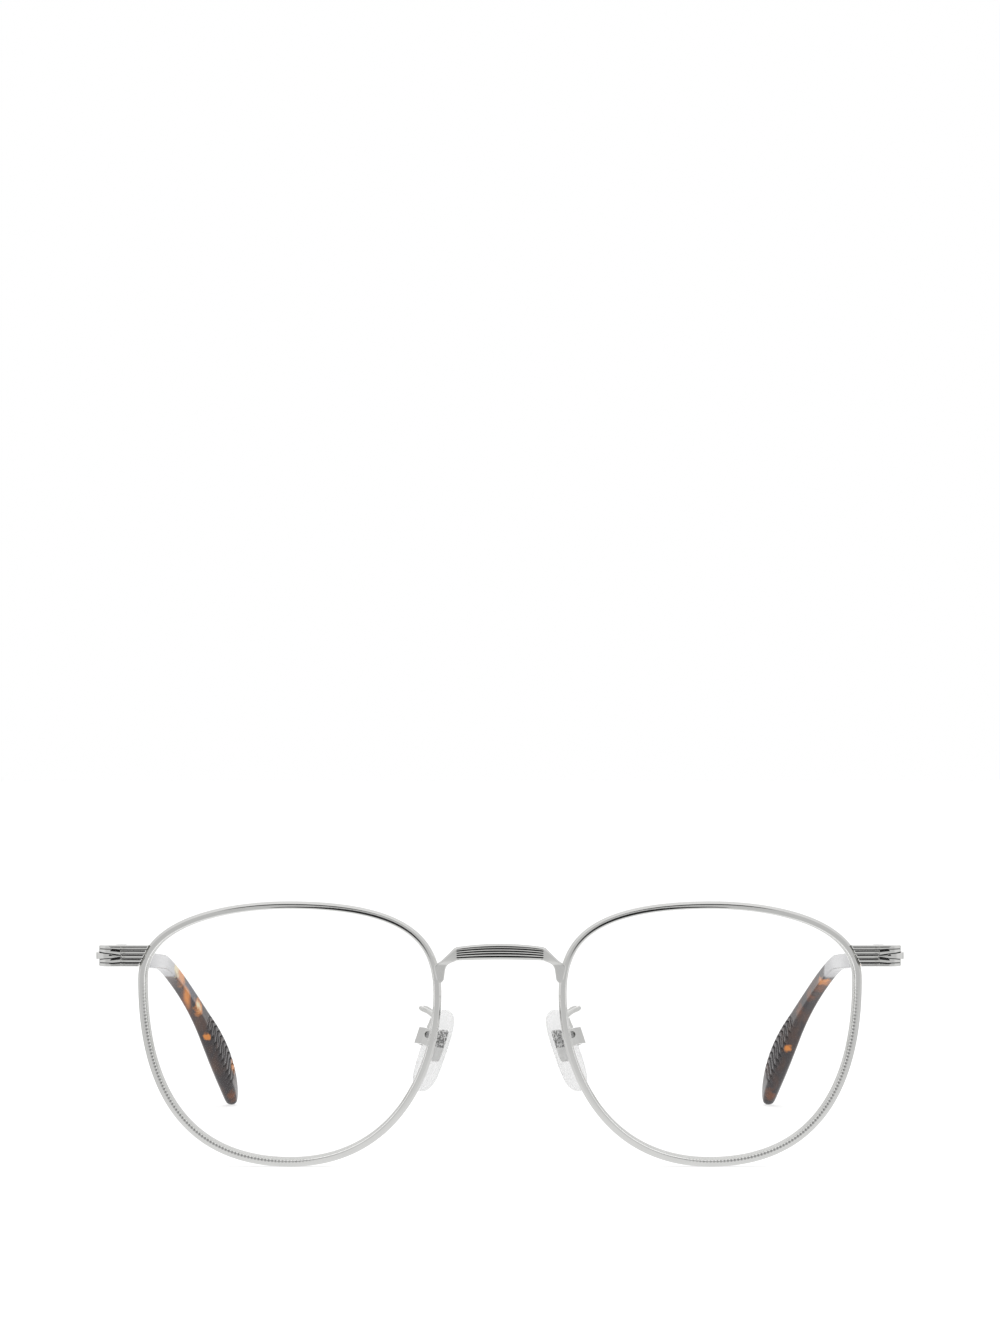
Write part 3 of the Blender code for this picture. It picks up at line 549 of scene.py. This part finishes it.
def build_arms(silver):
    rings = []
    stations = smooth_path([(ARM_START, 3.5), (10.0, 3.1), (25.0, 2.5), (45.0, 2.3), (ARM_SHOULDER, 2.1)], 8)
    for y, height in stations:
        rings.append(ring_at(straight(y), rounded_box(ARM_THICK, height, 0.25)))
    for y in (TIP_START - SEAM, TIP_START + 2.8):
        rings.append(ring_at(straight(y), rounded_box(1.0, 1.6, 0.25)))
    add_pair("temple_arm", loft("temple_arm", rings, HINGE_FRAME), [silver], "polished_silver", "temple")


# Thickness, height and corner radius of the ear tip, along its straight part and round its bend
TIP_STRAIGHT = ((TIP_START, 1.9, 2.5, 0.25), (TIP_START + 0.4, 2.1, 2.7, 0.25), (68.0, 2.1, 2.7, 0.25))
TIP_BEND = ((0.0, 2.2, 2.6, 0.25), (0.14, 2.2, 2.5, 0.28), (0.28, 2.3, 2.5, 0.35), (0.4, 2.4, 2.7, 0.5),
            (0.5, 2.6, 3.2, 0.7), (0.58, 2.8, 4.1, 0.95), (0.66, 3.0, 5.3, 1.2), (0.74, 3.1, 5.9, 1.3),
            (0.82, 3.1, 5.7, 1.3), (0.89, 3.0, 4.9, 1.3), (0.95, 2.7, 3.9, 1.2), (0.985, 2.3, 2.9, 1.0),
            (1.0, 1.7, 1.9, 0.8))


def grip_depth(s, across):
    """How deep the grip is cut at share s of the bend, and at a share across the tip's height."""
    edge = min((s - GRIP_START) / 0.03, (GRIP_END - s) / 0.03, (GRIP_HALF - abs(across)) / 0.05, 1.0)
    if edge <= 0.0:
        return 0.0
    wave = 0.5 * math.sin(2 * math.pi * (1.5 * across + 0.1)) + across
    line = abs((s * BEND_LENGTH / GRIP_PITCH + wave) % 1.0 - 0.5) * 2
    return GRIP_DEPTH * edge * max(0.0, 1.0 - line / 0.45)


def build_tips(materials):
    socket = rounded_box(1.2, 1.8, 0.3, 4, 30)
    rings = [ring_at(straight(TIP_START + 3.0), socket), ring_at(straight(TIP_START + 0.02), socket)]
    for y, thick, height, corner in TIP_STRAIGHT:
        rings.append(ring_at(straight(y), rounded_box(thick, height, corner, 4, 30)))
    for s, thick, height, corner in smooth_path(TIP_BEND, 24):
        outline = []
        for across, up in rounded_box(thick, height, min(corner, 0.48 * thick), 4, 30):
            cut = grip_depth(s, up / height) if across < 0.1 * thick - thick / 2 else 0.0
            outline.append((across + cut, up, cut / GRIP_DEPTH))
        rings.append(ring_at(bend_point(s), outline))
    mesh = loft("temple_tip", rings, HINGE_FRAME, angle=60)
    add_pair("temple_tip", mesh, materials, "tortoise_acetate", "temple")


# ------------------------------------------------------------------ nose pads

def build_pad_arms(silver):
    curve = bpy.data.curves.new("pad_arm", "CURVE")
    curve.dimensions = "3D"
    curve.resolution_u = 12
    curve.bevel_depth = PAD_WIRE_RADIUS * MM
    curve.bevel_resolution = 6
    curve.use_fill_caps = True
    spline = curve.splines.new("BEZIER")
    spline.bezier_points.add(len(PAD_WIRE) - 1)
    for target, point in zip(spline.bezier_points, PAD_WIRE):
        target.co = Vector(point) * MM
        target.handle_left_type = "AUTO"
        target.handle_right_type = "AUTO"
    guide = bpy.data.objects.new("pad_arm_path", curve)
    bpy.context.scene.collection.objects.link(guide)
    evaluated = guide.evaluated_get(bpy.context.evaluated_depsgraph_get())
    body = bmesh.new()
    body.from_mesh(bpy.data.meshes.new_from_object(evaluated))
    bpy.data.objects.remove(guide)
    bmesh.ops.remove_doubles(body, verts=body.verts, dist=0.001 * MM)
    mesh = mesh_from(body, "pad_arm", angle=50)
    mesh.transform(PLACE)
    add_pair("pad_arm", mesh, [silver], "polished_silver", "front")


def build_pad_inserts(stippled):
    """The plate inside the pad: stippled where it lies behind the stem, and plain below."""
    body = bmesh.new()
    bmesh.ops.create_grid(body, x_segments=34, y_segments=48, size=0.5)
    for vertex in body.verts:
        x, z = vertex.co.x, vertex.co.y
        corner = max(0.0, math.hypot(max(0.0, abs(x) - 0.2) / 0.3, max(0.0, abs(z) - 0.3) / 0.2) - 1.0)
        pull = 1.0 - 0.25 * corner
        dot = math.sin(x * PLATE_SIZE.x * 13.0) * math.sin(z * PLATE_SIZE.z * 13.0)
        rough = 0.06 * dot if z > -0.1 and abs(x) < 0.42 else 0.0
        vertex.co = Vector((x * pull * PLATE_SIZE.x, rough, z * pull * PLATE_SIZE.z))
    thicken = bmesh.ops.solidify(body, geom=body.verts[:] + body.edges[:] + body.faces[:],
                                 thickness=PLATE_SIZE.y * 0.8)
    bmesh.ops.scale(body, vec=(MM, MM, MM), verts=body.verts)
    bmesh.ops.translate(body, vec=(PLATE_CENTRE + Vector((0, 0.15, 0))) * MM, verts=body.verts)
    stem = bmesh.ops.create_cube(body, size=1.0)["verts"]
    bmesh.ops.scale(body, vec=STEM_SIZE * MM, verts=stem)
    bmesh.ops.translate(body, vec=STEM_CENTRE * MM, verts=stem)
    mesh = mesh_from(body, "pad_insert", angle=40)
    mesh.transform(PLACE @ PAD_FRAME)
    add_pair("pad_insert", mesh, [stippled], "brushed_silver", "pad")


def build_nose_pads(silicone):
    """The moulded pad: an oval cushion shape, flatter towards the plate and domed to the nose."""
    body = bmesh.new()
    bmesh.ops.create_cube(body, size=1.0)
    long_edges = [edge for edge in body.edges if abs(edge.verts[0].co.z - edge.verts[1].co.z) > 0.5]
    bmesh.ops.subdivide_edges(body, edges=long_edges, cuts=1, use_grid_fill=True)
    bmesh.ops.scale(body, vec=PAD_SIZE * 1.18 * MM, verts=body.verts)
    bmesh.ops.translate(body, vec=PAD_CENTRE * MM, verts=body.verts)
    mesh = mesh_from(body, "nose_pad", angle=180)
    mesh.transform(PLACE @ PAD_FRAME)
    for piece in add_pair("nose_pad", mesh, [silicone], "clear_silicone", "pad"):
        rounding = piece.modifiers.new("rounding", "SUBSURF")
        rounding.levels = 4
        rounding.render_levels = 4


# ------------------------------------------------------------------ small machined pieces

def build_machined(node, material, slot, body, bevel):
    """A turned or milled CAD piece with its edges broken by a fine bevel."""
    for side in ("left", "right"):
        solid = bmesh.new()
        solid.from_mesh(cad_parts[side + "_" + node].data)
        bmesh.ops.remove_doubles(solid, verts=solid.verts, dist=0.001 * MM)
        bmesh.ops.dissolve_limit(solid, angle_limit=math.radians(1.0), verts=solid.verts, edges=solid.edges)
        mesh = mesh_from(solid, node, angle=35)
        rides = body if body == "front" else side + "_" + body
        piece = add_piece(node + "_" + side, mesh, material, slot, rides, side + "_" + node)
        edges = piece.modifiers.new("broken edges", "BEVEL")
        edges.width = bevel * MM
        edges.segments = 2
        edges.limit_method = "ANGLE"
        edges.angle_limit = math.radians(35)
        edges.harden_normals = True


# ------------------------------------------------------------------ materials

class Nodes:
    """A material's node tree, with short calls to add and link nodes."""

    def __init__(self, name):
        self.material = bpy.data.materials.new(name)
        self.material.use_nodes = True
        self.tree = self.material.node_tree
        self.shader = self.tree.nodes["Principled BSDF"]
        self.output = self.tree.nodes["Material Output"]
        self.place = self.add("ShaderNodeTexCoord").outputs["Object"]

    def add(self, kind, **settings):
        node = self.tree.nodes.new(kind)
        for key, value in settings.items():
            setattr(node, key, value)
        return node

    def link(self, source, target):
        self.tree.links.new(source, target)

    def stretched(self, scale):
        mapping = self.add("ShaderNodeMapping")
        mapping.inputs["Scale"].default_value = scale
        self.link(self.place, mapping.inputs["Vector"])
        return mapping.outputs["Vector"]

    def noise(self, vector, scale, detail=3.0, roughness=0.5):
        node = self.add("ShaderNodeTexNoise")
        node.inputs["Scale"].default_value = scale
        node.inputs["Detail"].default_value = detail
        node.inputs["Roughness"].default_value = roughness
        self.link(vector, node.inputs["Vector"])
        return node

    def spread(self, value, low, high, to_low, to_high):
        node = self.add("ShaderNodeMapRange")
        for key, number in (("From Min", low), ("From Max", high), ("To Min", to_low), ("To Max", to_high)):
            node.inputs[key].default_value = number
        self.link(value, node.inputs["Value"])
        return node.outputs["Result"]

    def recess(self):
        """How far the surface lies down a groove, as the loft stored it, for painted shade and roughness."""
        return self.add("ShaderNodeAttribute", attribute_name="recess").outputs["Fac"]

    def mix(self, share, first, second):
        node = self.add("ShaderNodeMix", data_type="RGBA")
        for source, socket in ((share, node.inputs[0]), (first, node.inputs[6]), (second, node.inputs[7])):
            if isinstance(source, tuple):
                socket.default_value = (*source, 1.0)
            else:
                self.link(source, socket)
        return node.outputs[2]

    def bump(self, height, strength, distance):
        node = self.add("ShaderNodeBump")
        node.inputs["Strength"].default_value = strength
        node.inputs["Distance"].default_value = distance * MM
        self.link(height, node.inputs["Height"])
        self.link(node.outputs["Normal"], self.shader.inputs["Normal"])

    def set(self, **values):
        for key, value in values.items():
            self.shader.inputs[key.replace("_", " ")].default_value = value


GROOVE_SHADE = (0.035, 0.035, 0.035)     # painted shade of the metal down a groove


def metal(name, colour, tint, roughness, grain, scratch):
    """Plated or brushed metal: cloudy gloss with a fine directional grain, and painted shade in its grooves.
    """
    n = Nodes(name)
    n.set(Metallic=1.0)
    clouds = n.noise(n.place, 260.0, 4.0)
    plated = n.mix(n.spread(clouds.outputs["Fac"], 0.35, 0.65, 0.0, 1.0), colour, tint)
    # painted shade darkens the metal down its grooves
    n.link(n.mix(n.recess(), plated, GROOVE_SHADE), n.shader.inputs["Base Color"])
    fine = n.noise(n.stretched((1.0, 0.15, 1.0)), grain, 3.0)
    n.link(n.spread(fine.outputs["Fac"], 0.3, 0.7, *roughness), n.shader.inputs["Roughness"])
    n.bump(fine.outputs["Fac"], scratch, 0.004)
    return n.material


def clear_lens():
    """Coated lens: lets nearly everything through, with a faint even sheen."""
    n = Nodes("clear_lens_looks")
    n.tree.nodes.remove(n.shader)
    through = n.add("ShaderNodeBsdfTransparent")
    through.inputs["Color"].default_value = (0.99, 0.99, 0.99, 1.0)
    sheen = n.add("ShaderNodeBsdfGlossy")
    sheen.inputs["Roughness"].default_value = 0.02
    sheen.inputs["Color"].default_value = (0.97, 1.0, 0.98, 1.0)
    edge = n.add("ShaderNodeFresnel")
    edge.inputs["IOR"].default_value = 1.12
    smears = n.noise(n.place, 60.0, 2.0)
    strength = n.add("ShaderNodeMath", operation="MULTIPLY")
    limit = n.add("ShaderNodeMath", operation="MINIMUM")
    limit.inputs[1].default_value = 0.06
    n.link(edge.outputs["Fac"], limit.inputs[0])
    n.link(limit.outputs["Value"], strength.inputs[0])
    n.link(n.spread(smears.outputs["Fac"], 0.3, 0.7, 0.8, 1.0), strength.inputs[1])
    blend = n.add("ShaderNodeMixShader")
    n.link(strength.outputs["Value"], blend.inputs[0])
    n.link(through.outputs[0], blend.inputs[1])
    n.link(sheen.outputs[0], blend.inputs[2])
    n.link(blend.outputs[0], n.output.inputs["Surface"])
    return n.material


def clear_silicone():
    """Soft clear silicone: mostly see-through, a little milky, denser at its edges."""
    n = Nodes("clear_silicone_looks")
    n.set(Base_Color=(0.56, 0.56, 0.56, 1.0), Metallic=0.0, IOR=1.41)
    cloud = n.noise(n.place, 500.0, 3.0)
    n.link(n.spread(cloud.outputs["Fac"], 0.3, 0.7, 0.30, 0.45), n.shader.inputs["Roughness"])
    edge = n.add("ShaderNodeLayerWeight")
    edge.inputs["Blend"].default_value = 0.35
    n.link(n.spread(edge.outputs["Facing"], 0.0, 1.0, 0.26, 0.5), n.shader.inputs["Alpha"])
    n.bump(cloud.outputs["Fac"], 0.2, 0.02)
    return n.material


PIT_SHADE = (0.06, 0.06, 0.06)                # painted shade in the pits of the stippled plate
SATIN = (0.90, 0.90, 0.89)              # its bare metal


def pad_plate():
    """The plate in the pad: its upper part stippled, with painted shade in its pits, its lower part plain
    satin.
    """
    n = Nodes("pad_plate_looks")
    n.set(Metallic=0.25)
    stipple = n.noise(n.place, 2600.0, 2.0)
    # painted shade in the stipple's pits, between bare satin metal
    speckled = n.mix(n.spread(stipple.outputs["Fac"], 0.48, 0.53, 0.0, 1.0), PIT_SHADE, SATIN)
    split = n.add("ShaderNodeSeparateXYZ")
    n.link(n.place, split.inputs[0])
    upper = n.spread(split.outputs["Z"], (STIPPLE_Z - 0.05) * MM, (STIPPLE_Z + 0.05) * MM, 0.0, 1.0)
    n.link(n.mix(upper, SATIN, speckled), n.shader.inputs["Base Color"])
    n.link(n.spread(stipple.outputs["Fac"], 0.3, 0.7, 0.3, 0.5), n.shader.inputs["Roughness"])
    n.bump(stipple.outputs["Fac"], 0.3, 0.03)
    return n.material


GRIP_SHADE = (0.008, 0.008, 0.008)             # painted shade down the grip's lines
DARK = (0.040, 0.034, 0.036)
BROWN = (0.080, 0.048, 0.038)
VIOLET = (0.055, 0.052, 0.075)
AMBER = (0.55, 0.20, 0.045)
RUST = (0.15, 0.06, 0.032)
CREAM = (0.62, 0.53, 0.33)
SMOKE = (0.38, 0.38, 0.39)

# Patches of colour in the wearer's right and left tip, from its start to its end. Each has a centre, a
# size sideways, along the bend and across it, a colour, and how soft its edge is.
RIGHT_PATCHES = (
    ((-63.5, 77.3, 31.0), (20.0, 20.0, 20.0), SMOKE, 0.04),
    ((-61.2, 100.6, 27.9), (1.3, 3.0, 1.8), AMBER, 0.25),
    ((-61.9, 98.0, 29.0), (1.2, 1.7, 1.4), CREAM, 0.35),
    ((-59.6, 106.5, 24.4), (1.3, 3.6, 1.9), VIOLET, 0.3),
    ((-60.6, 107.5, 21.9), (0.9, 5.5, 0.9), RUST, 0.5),
    ((-60.2, 105.8, 23.4), (0.6, 4.4, 0.7), AMBER, 0.4),
    ((-58.3, 110.8, 21.0), (1.2, 2.4, 1.2), AMBER, 0.3),
    ((-58.5, 110.6, 21.0), (0.9, 1.4, 0.8), CREAM, 0.3),
    ((-57.0, 116.7, 14.6), (0.7, 1.3, 0.35), AMBER, 0.3),
    ((-52.5, 128.5, 8.0), (0.6, 1.5, 0.9), AMBER, 0.5),
    ((-52.8, 130.1, 2.0), (0.8, 1.4, 1.1), RUST, 0.6),
)
LEFT_PATCHES = (
    ((63.5, 77.3, 31.0), (20.0, 20.0, 20.0), SMOKE, 0.04),
    ((61.9, 99.7, 26.3), (1.2, 1.7, 1.0), AMBER, 0.4),
    ((61.4, 102.2, 25.0), (1.0, 1.8, 1.0), RUST, 0.5),
    ((59.9, 106.6, 23.4), (0.9, 1.6, 0.9), RUST, 0.5),
    ((58.0, 111.7, 20.2), (1.0, 1.5, 0.8), RUST, 0.6),
    ((55.9, 119.0, 12.1), (0.8, 1.1, 0.5), AMBER, 0.4),
    ((53.2, 129.8, 2.2), (0.9, 1.6, 1.1), RUST, 0.6),
)


PATCH_SLOPE = 30.0               # degrees by which the patches slope down along the bend
FINE_PATCH = 2.5                 # patches shorter than this have a finer ragged edge
RAGGED = 4.0                     # how far the ragged edges reach


def tortoise(name, patches):
    """Acetate with patches of colour through it, whose edges are drawn out and ragged, and painted shade down
    its grip's lines.
    """
    n = Nodes(name)
    n.set(Metallic=0.0, IOR=1.38, Coat_Weight=0.1, Coat_Roughness=0.05)
    warp = n.noise(n.place, 260.0, 3.0)
    fine_warp = n.noise(n.place, 800.0, 3.0)
    streaks = n.noise(n.stretched((1.0, 0.35, 0.5)), 420.0, 4.0)
    colour = n.mix(n.spread(streaks.outputs["Fac"], 0.48, 0.70, 0.0, 1.0), DARK, BROWN)
    for centre, size, tone, softness in patches:
        shift = n.add("ShaderNodeVectorMath", operation="SUBTRACT")
        n.link(n.place, shift.inputs[0])
        shift.inputs[1].default_value = (Vector(centre) + Vector((0.0, FRONT_Y, 0.0))) * MM
        turn = n.add("ShaderNodeVectorRotate", rotation_type="X_AXIS")
        turn.inputs["Angle"].default_value = math.radians(PATCH_SLOPE)
        n.link(shift.outputs["Vector"], turn.inputs["Vector"])
        shape = n.add("ShaderNodeVectorMath", operation="DIVIDE")
        n.link(turn.outputs["Vector"], shape.inputs[0])
        shape.inputs[1].default_value = Vector(size) * MM
        ragged = n.add("ShaderNodeVectorMath", operation="MULTIPLY_ADD")
        n.link((fine_warp if max(size) < FINE_PATCH else warp).outputs["Color"], ragged.inputs[0])
        strength = min(2.4, RAGGED / max(size))
        ragged.inputs[1].default_value = (strength, strength, strength)
        n.link(shape.outputs["Vector"], ragged.inputs[2])
        centred = n.add("ShaderNodeVectorMath", operation="SUBTRACT")
        n.link(ragged.outputs["Vector"], centred.inputs[0])
        centred.inputs[1].default_value = (strength / 2, strength / 2, strength / 2)
        reach = n.add("ShaderNodeVectorMath", operation="LENGTH")
        n.link(centred.outputs["Vector"], reach.inputs[0])
        share = n.spread(reach.outputs["Value"], 1.0 - softness, 1.0 + softness, 1.0, 0.0)
        colour = n.mix(share, colour, tone)
    # painted shade darkens the grip's engraved lines
    n.link(n.mix(n.recess(), colour, GRIP_SHADE), n.shader.inputs["Base Color"])
    satin = n.spread(warp.outputs["Fac"], 0.3, 0.7, 0.16, 0.24)
    n.link(n.mix(n.recess(), satin, (0.9, 0.9, 0.9)), n.shader.inputs["Roughness"])
    n.bump(streaks.outputs["Fac"], 0.08, 0.01)
    return n.material


# ------------------------------------------------------------------ studio

def floor_paper():
    """Pale paper, lit through from below, so that shadows on it stay faint."""
    material = bpy.data.materials.new("floor_paper")
    material.use_nodes = True
    shader = material.node_tree.nodes["Principled BSDF"]
    shader.inputs["Base Color"].default_value = (0.42, 0.42, 0.42, 1.0)
    shader.inputs["Roughness"].default_value = 0.8
    shader.inputs["Specular IOR Level"].default_value = 0.1
    shader.inputs["Emission Color"].default_value = (1.0, 1.0, 1.0, 1.0)
    shader.inputs["Emission Strength"].default_value = 0.6
    return material


def stage_plane(name, size, centre, facing, material):
    body = bmesh.new()
    bmesh.ops.create_grid(body, x_segments=1, y_segments=1, size=0.5)
    bmesh.ops.scale(body, vec=(size[0], size[1], 1.0), verts=body.verts)
    mesh = bpy.data.meshes.new(name)
    body.to_mesh(mesh)
    body.free()
    mesh.materials.append(material)
    obj = bpy.data.objects.new(name, mesh)
    bpy.context.scene.collection.objects.link(obj)
    turn = Vector(facing).to_track_quat("Z", "Y")
    obj.matrix_world = Matrix.Translation(centre) @ turn.to_matrix().to_4x4()
    return obj


def area_light(name, size, centre, aim, power):
    light = bpy.data.lights.new(name, "AREA")
    light.shape = "RECTANGLE"
    light.size, light.size_y = size
    light.energy = power
    obj = bpy.data.objects.new(name, light)
    bpy.context.scene.collection.objects.link(obj)
    obj.location = centre
    obj.rotation_euler = (Vector(aim) - Vector(centre)).to_track_quat("-Z", "Y").to_euler()
    obj.visible_glossy = False


def build_world():
    """White for the camera and for diffuse light. Gloss sees a grey room with a brighter backdrop, and
    the dark camera under a dark band in front of the glasses."""
    world = bpy.data.worlds.new("studio")
    bpy.context.scene.world = world
    world.use_nodes = True
    tree = world.node_tree

    def add(kind, **settings):
        node = tree.nodes.new(kind)
        for key, value in settings.items():
            setattr(node, key, value)
        return node

    def maths(operation, first, second=0.0):
        node = add("ShaderNodeMath", operation=operation)
        for source, socket in ((first, node.inputs[0]), (second, node.inputs[1])):
            if isinstance(source, float):
                socket.default_value = source
            else:
                tree.links.new(source, socket)
        return node.outputs["Value"]

    def step(value, start, end):
        """0 before start and 1 after end, or the other way round when end is the smaller."""
        node = add("ShaderNodeMapRange", interpolation_type="SMOOTHSTEP")
        node.inputs["From Min"].default_value = start
        node.inputs["From Max"].default_value = end
        tree.links.new(value, node.inputs["Value"])
        return node.outputs["Result"]

    def mix(share, first, second):
        node = add("ShaderNodeMix", data_type="RGBA")
        for source, socket in ((share, node.inputs[0]), (first, node.inputs[6]), (second, node.inputs[7])):
            if isinstance(source, float):
                socket.default_value = (source, source, source, 1.0)
            else:
                tree.links.new(source, socket)
        return node.outputs[2]

    split = add("ShaderNodeSeparateXYZ")
    tree.links.new(add("ShaderNodeTexCoord").outputs["Generated"], split.inputs[0])
    side = maths("ABSOLUTE", split.outputs["X"])
    up = split.outputs["Z"]
    ahead = step(split.outputs["Y"], 0.0, -0.05)

    level = add("ShaderNodeMapRange")
    level.inputs["From Min"].default_value = -1.0
    tree.links.new(up, level.inputs["Value"])
    ramp = add("ShaderNodeValToRGB")
    tree.links.new(level.outputs["Result"], ramp.inputs["Fac"])
    stops = ramp.color_ramp.elements
    while len(stops) < len(ROOM):
        stops.new(0.5)
    for stop, (height, grey) in zip(stops, ROOM):
        stop.position = (height + 1) / 2
        stop.color = (grey, grey, grey, 1.0)

    walls = maths("MULTIPLY", step(side, *WALLS), step(up, 0.8, 0.6))
    room = mix(walls, ramp.outputs["Color"], WALL_GREY)
    room = mix(step(split.outputs["Y"], *BACKDROP), room, BACKDROP_WHITE)
    room = mix(step(split.outputs["Y"], *DOORWAY), room, DOORWAY_GREY)
    band = maths("MULTIPLY", step(up, *LINTEL_UP[:2]), step(up, *reversed(LINTEL_UP[2:])))
    band = maths("MULTIPLY", band, step(side, *reversed(LINTEL_SIDE)))
    wide = maths("POWER", maths("DIVIDE", side, CAMERA_SPOT[0]), 2.0)
    high = maths("POWER", maths("DIVIDE", up, CAMERA_SPOT[1]), 2.0)
    spot = maths("MULTIPLY", step(maths("ADD", wide, high), 1.06, 0.94), step(up, *CAMERA_BASE))
    dark = maths("MULTIPLY", maths("MAXIMUM", band, spot), ahead)
    seen = mix(dark, room, CAMERA_GREY)
    colour = mix(add("ShaderNodeLightPath").outputs["Is Glossy Ray"], 1.0, seen)
    tree.links.new(colour, tree.nodes["Background"].inputs["Color"])


def build_studio():
    scene = bpy.context.scene
    scene.view_settings.view_transform = "Standard"
    build_world()
    floor = stage_plane("floor", (6.0, 6.0), (0, 0, 0), (0, 0, 1), floor_paper())
    floor.visible_glossy = False
    area_light("top_softbox", (0.9, 0.9), (0, -0.05, 1.0), (0, 0, 0), 6.0)

    camera_data = bpy.data.cameras.new("photo_camera")
    camera_data.sensor_width = 36.0
    camera_data.lens = CAMERA_LENS
    camera_data.clip_start = 0.01
    camera = bpy.data.objects.new("photo_camera", camera_data)
    scene.collection.objects.link(camera)
    camera.location = Vector((0.0, FRONT_Y - CAMERA_DISTANCE, CAMERA_HEIGHT)) * MM
    camera.rotation_euler = (math.pi / 2, 0.0, 0.0)
    scene.camera = camera


# ------------------------------------------------------------------ assembly

def build_glasses():
    silver = metal("polished_silver_looks", (0.84, 0.84, 0.825), (0.81, 0.81, 0.795), (0.04, 0.07),
                   2600.0, 0.02)
    satin = metal("brushed_silver_looks", (0.74, 0.74, 0.73), (0.66, 0.66, 0.65), (0.2, 0.34), 3800.0, 0.15)
    steel = metal("screw_steel_looks", (0.45, 0.45, 0.45), (0.38, 0.38, 0.38), (0.2, 0.34), 3800.0, 0.12)
    build_rims(silver)
    build_lenses(clear_lens())
    build_bridge(silver)
    build_endpieces(silver)
    build_arms(silver)
    build_tips([tortoise("tortoise_left", LEFT_PATCHES), tortoise("tortoise_right", RIGHT_PATCHES)])
    build_pad_arms(silver)
    build_pad_inserts(pad_plate())
    build_nose_pads(clear_silicone())
    for node, material, slot, body, bevel in (
            ("pad_box", silver, "polished_silver", "front", 0.2),
            ("hinge_fork", satin, "brushed_silver", "front", 0.1),
            ("hinge_tongue", satin, "brushed_silver", "temple", 0.08),
            ("rim_lock_upper", satin, "brushed_silver", "front", 0.12),
            ("rim_lock_lower", satin, "brushed_silver", "front", 0.12),
            ("rim_screw", steel, "screw_steel", "front", 0.03),
            ("hinge_screw", steel, "screw_steel", "front", 0.03),
            ("pad_screw", steel, "screw_steel", "front", 0.02)):
        build_machined(node, material, slot, body, bevel)


build_studio()
build_glasses()
